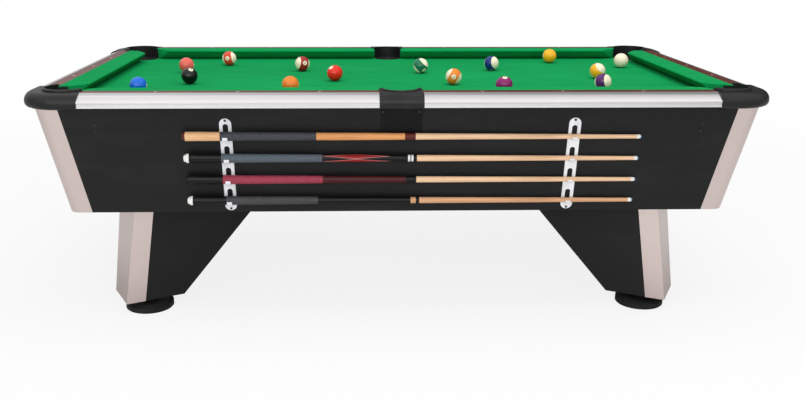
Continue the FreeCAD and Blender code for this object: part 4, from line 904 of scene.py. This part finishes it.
UP, ASIDE = (0, 0, 1), (1.0, 0.05, 0.0)
OBJECT_BALLS = [  # name, number, place, colour, where the disc looks, the band's axis
    ("solid_blue", 2, (-0.845, -0.806), (0.004, 0.125, 0.6), ASIDE, UP),
    ("solid_red", 3, (-0.777, 0.212), (0.72, 0.12, 0.09), ASIDE, UP),
    ("solid_black", 8, (-0.717, -0.368), (0.004, 0.004, 0.005), (0.28, -0.38, 0.88), (0.0, 0.9, 0.45)),
    ("stripe_red_orange", 11, (-0.642, 0.619), (0.62, 0.06, 0.02), (-0.2, -0.95, 0.1), (0.97, -0.15, 0.2)),
    ("solid_orange", 5, (-0.353, -0.771), (0.75, 0.2, 0.02), ASIDE, UP),
    ("stripe_maroon", 15, (-0.341, 0.281), (0.3, 0.018, 0.012), (0.45, -0.85, 0.2), (-0.88, -0.38, 0.2)),
    ("solid_scarlet", 7, (-0.212, -0.232), (0.72, 0.022, 0.01), (-0.45, -0.4, 0.8), (0.7, 0.3, 0.6)),
    ("stripe_green", 14, (0.11, 0.163), (0.01, 0.16, 0.075), (-0.6, 0.7, 0.3), (0.68, -0.12, 0.7)),
    ("stripe_orange", 13, (0.204, -0.415), (0.75, 0.21, 0.02), (0.0, -1.0, 0.05), (0.85, -0.12, -0.45)),
    ("stripe_blue", 10, (0.389, 0.299), (0.008, 0.03, 0.17), (-0.3, 0.6, 0.8), (0.78, -0.72, 0.25)),
    ("solid_purple", 4, (0.35, -0.798), (0.22, 0.008, 0.12), (0.0, -0.35, 0.93), (0.0, 0.93, 0.35)),
    ("solid_yellow", 1, (0.664, 0.766), (0.86, 0.42, 0.012), ASIDE, UP),
    ("stripe_yellow", 9, (0.746, -0.136), (0.86, 0.42, 0.012), (-0.9, 0.5, 0.3), (0.5, -0.45, 0.7)),
    ("stripe_purple", 12, (0.694, -0.678), (0.085, 0.015, 0.12), (-0.2, 0.5, 0.8), (0.8, -0.7, 0.25)),
]
for name, number, place, colour, disc, stripe_axis in OBJECT_BALLS:
    look = resin(name + "_resin", colour, striped=name.startswith("stripe_"))
    ball(name, place, number, look, disc, stripe_axis, "object_balls")
white = resin("cue_ball_resin", IVORY_RESIN, striped=False)
ball("white_cue_ball", (0.918, 0.463), None, white, (1, 0, 0), UP, "cue_ball")
print(len(OBJECT_BALLS) + 1, "balls on the bed")

# %% [markdown]
# ## Threaded stems
#
# Each foot stands on a steel stem with a coarse thread, 2.5 mm a turn, that screws into the leg's foot
# block; the six-sided collar takes a spanner. A thread is one ridge wound round the rod: every point
# climbs by a turn's pitch as the angle goes round, and the last column meets the first one a thread
# higher. At both ends the climb is held level and the ridge dies out.

# %% Wind the stems
PITCH, FOOT, TOP = 0.0025, 0.008, 0.108  # the stem's ends above the floor
SHANK, ROOT, END = 0.0080, 0.0067, 0.0062  # radius at the crest, in the groove and at the two ends
FLANK = ROOT + 0.55 * (SHANK - ROOT)
THREAD = [ROOT, ROOT, FLANK, SHANK, FLANK]  # radii up one thread
ROWS, STEPS = len(THREAD), 28  # points up one thread, and round it
COLLAR = [(0.0335, 0.0080), (0.0335, 0.0128), (0.0342, 0.01555), (0.0418, 0.01555), (0.0425, 0.0128),
          (0.0425, 0.0080)]


def threaded_stem():
    """Points and faces of a threaded rod with a six-sided collar, standing on Z."""
    rows = ROWS * (round((TOP - FOOT) / PITCH) + 2)
    points, faces = [], []
    for row in range(rows):
        for step in range(STEPS):
            height = FOOT + PITCH * (row / ROWS - 1 + step / STEPS)
            radius = THREAD[row % ROWS]
            if not FOOT < height < TOP:
                height, radius = min(max(height, FOOT), TOP), END
            turn = 2 * math.pi * step / STEPS
            points.append((radius * math.cos(turn), radius * math.sin(turn), height))
    for row in range(rows - 1):
        for step in range(STEPS):
            here, beside = row * STEPS + step, row * STEPS + step + 1
            if step == STEPS - 1:
                beside = (row + ROWS) * STEPS
                if row + ROWS + 1 >= rows:
                    continue
            faces.append((here, beside, beside + STEPS, here + STEPS))
    for first, turned in ((0, True), (len(points) - STEPS, False)):
        rim = tuple(range(first, first + STEPS))
        faces.append(rim[::-1] if turned else rim)
    base = len(points)
    for height, radius in COLLAR:
        points += ring(radius, height, 6)
    for row in range(len(COLLAR)):
        below, above = base + 6 * row, base + 6 * ((row + 1) % len(COLLAR))
        faces += [(below + k, below + (k + 1) % 6, above + (k + 1) % 6, above + k) for k in range(6)]
    return points, faces


for corner in ("near_left", "near_right", "far_left", "far_right"):
    spots = [spot.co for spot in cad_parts[f"foot_stem_{corner}"].data.vertices]
    middle = [(min(s[k] for s in spots) + max(s[k] for s in spots)) / 2 for k in range(2)]
    placed(f"threaded_stem_{corner}", *threaded_stem(), [zinc_plate], f"stem_{corner}", f"foot_stem_{corner}",
           "zinc_steel", Matrix.Translation((*middle, 0)), crease=30)
print("four stems,", PITCH * 1000, "mm a turn")

# %% [markdown]
# ## Screws
#
# The racks, the plates and the panels are held by small pan-head screws. The head is a low dome with a
# cross cut into its top: the flat of the dome is filled in round the cross, and the cross goes down
# with walls that lean in a little. Each one is set where the CAD piece has its plain disc, square to
# the leaning side of the cabinet.

# %% Cut the screw heads
HEAD, RISE = 0.004, 0.002  # radius and height of the dome
CROSS_DEPTH, CROSS_FOOT = 0.0009, 0.82  # how deep the cross goes, and its size down there
HEAD_STEPS = 24
CROSS = [(1.9, 0.38), (0.38, 0.38), (0.38, 1.9), (-0.38, 1.9), (-0.38, 0.38), (-1.9, 0.38),
         (-1.9, -0.38), (-0.38, -0.38), (-0.38, -1.9), (0.38, -1.9), (0.38, -0.38), (1.9, -0.38)]
DOME = [(0.0029, RISE), (0.0034, 0.00185), (0.0038, 0.0014), (HEAD, 0.0008), (HEAD, 0.0)]


def screw_head():
    """Points and faces of one head; its seat is at Z 0 and its top looks along Z."""
    points = [(x / 1000, y / 1000, RISE) for x, y in CROSS]
    points += [(CROSS_FOOT * x / 1000, CROSS_FOOT * y / 1000, RISE - CROSS_DEPTH) for x, y in CROSS]
    count = len(CROSS)
    inner = (1, 4, 7, 10)  # the four corners where the cross's arms meet
    faces = [(k, (k + 1) % count, count + (k + 1) % count, count + k) for k in range(count)]
    faces.append(tuple(count + k for k in inner))
    faces += [tuple(count + (first + k) % count for k in range(4)) for first in inner]
    rings = []
    for radius, height in DOME:
        rings.append(len(points))
        points += ring(radius, height, HEAD_STEPS)
    rim = [rings[0] + k for k in range(HEAD_STEPS)]
    flat = [[Vector(points[k]) for k in rim], [Vector(points[k]) for k in range(count)]]
    corners = rim + list(range(count))
    faces += [tuple(corners[corner] for corner in face) for face in tessellate_polygon(flat)]
    for high, low in zip(rings, rings[1:]):
        for k in range(HEAD_STEPS):
            after = (k + 1) % HEAD_STEPS
            faces.append((high + k, low + k, low + after, high + after))
    faces.append(tuple(rings[-1] + k for k in range(HEAD_STEPS)))
    return points, faces


def loose_parts(piece):
    """The separate solids of a mesh, each as a list of its points."""
    work = bmesh.new()
    work.from_mesh(piece.data)
    bmesh.ops.remove_doubles(work, verts=work.verts, dist=WELD)
    seen, parts = set(), []
    for first in work.verts:
        if first in seen:
            continue
        seen.add(first)
        found = [first]
        for spot in found:  # grows as its neighbours are found
            beside = [way.other_vert(spot) for way in spot.link_edges]
            fresh = [other for other in beside if other not in seen]
            seen.update(fresh)
            found += fresh
        parts.append([spot.co.copy() for spot in found])
    work.free()
    return parts


head_points, head_faces = screw_head()
points, faces = [], []
for part in loose_parts(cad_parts["screws"]):
    middle = sum(part, Vector()) / len(part)
    side = -1 if middle.y < 0 else 1
    out = Vector((0, side * math.cos(FACE_LEAN), -math.sin(FACE_LEAN)))
    seat = middle + out * (min(spot.dot(out) for spot in part) - middle.dot(out))
    turned = math.radians(37 * len(points) % 180)  # no two crosses stand alike
    flat_x = Vector((1, 0, 0))
    across = out.cross(flat_x)
    x = flat_x * math.cos(turned) + across * math.sin(turned)
    at = Matrix((x, out.cross(x), out)).transposed().to_4x4()
    at.translation = seat
    faces += [tuple(len(points) + corner for corner in face) for face in head_faces]
    points += [tuple(at @ Vector(point)) for point in head_points]
placed("cross_head_screws", points, faces, [blackened_steel], "table", "screws", "dark_screw", crease=30)
print(len(points) // len(head_points), "screws")
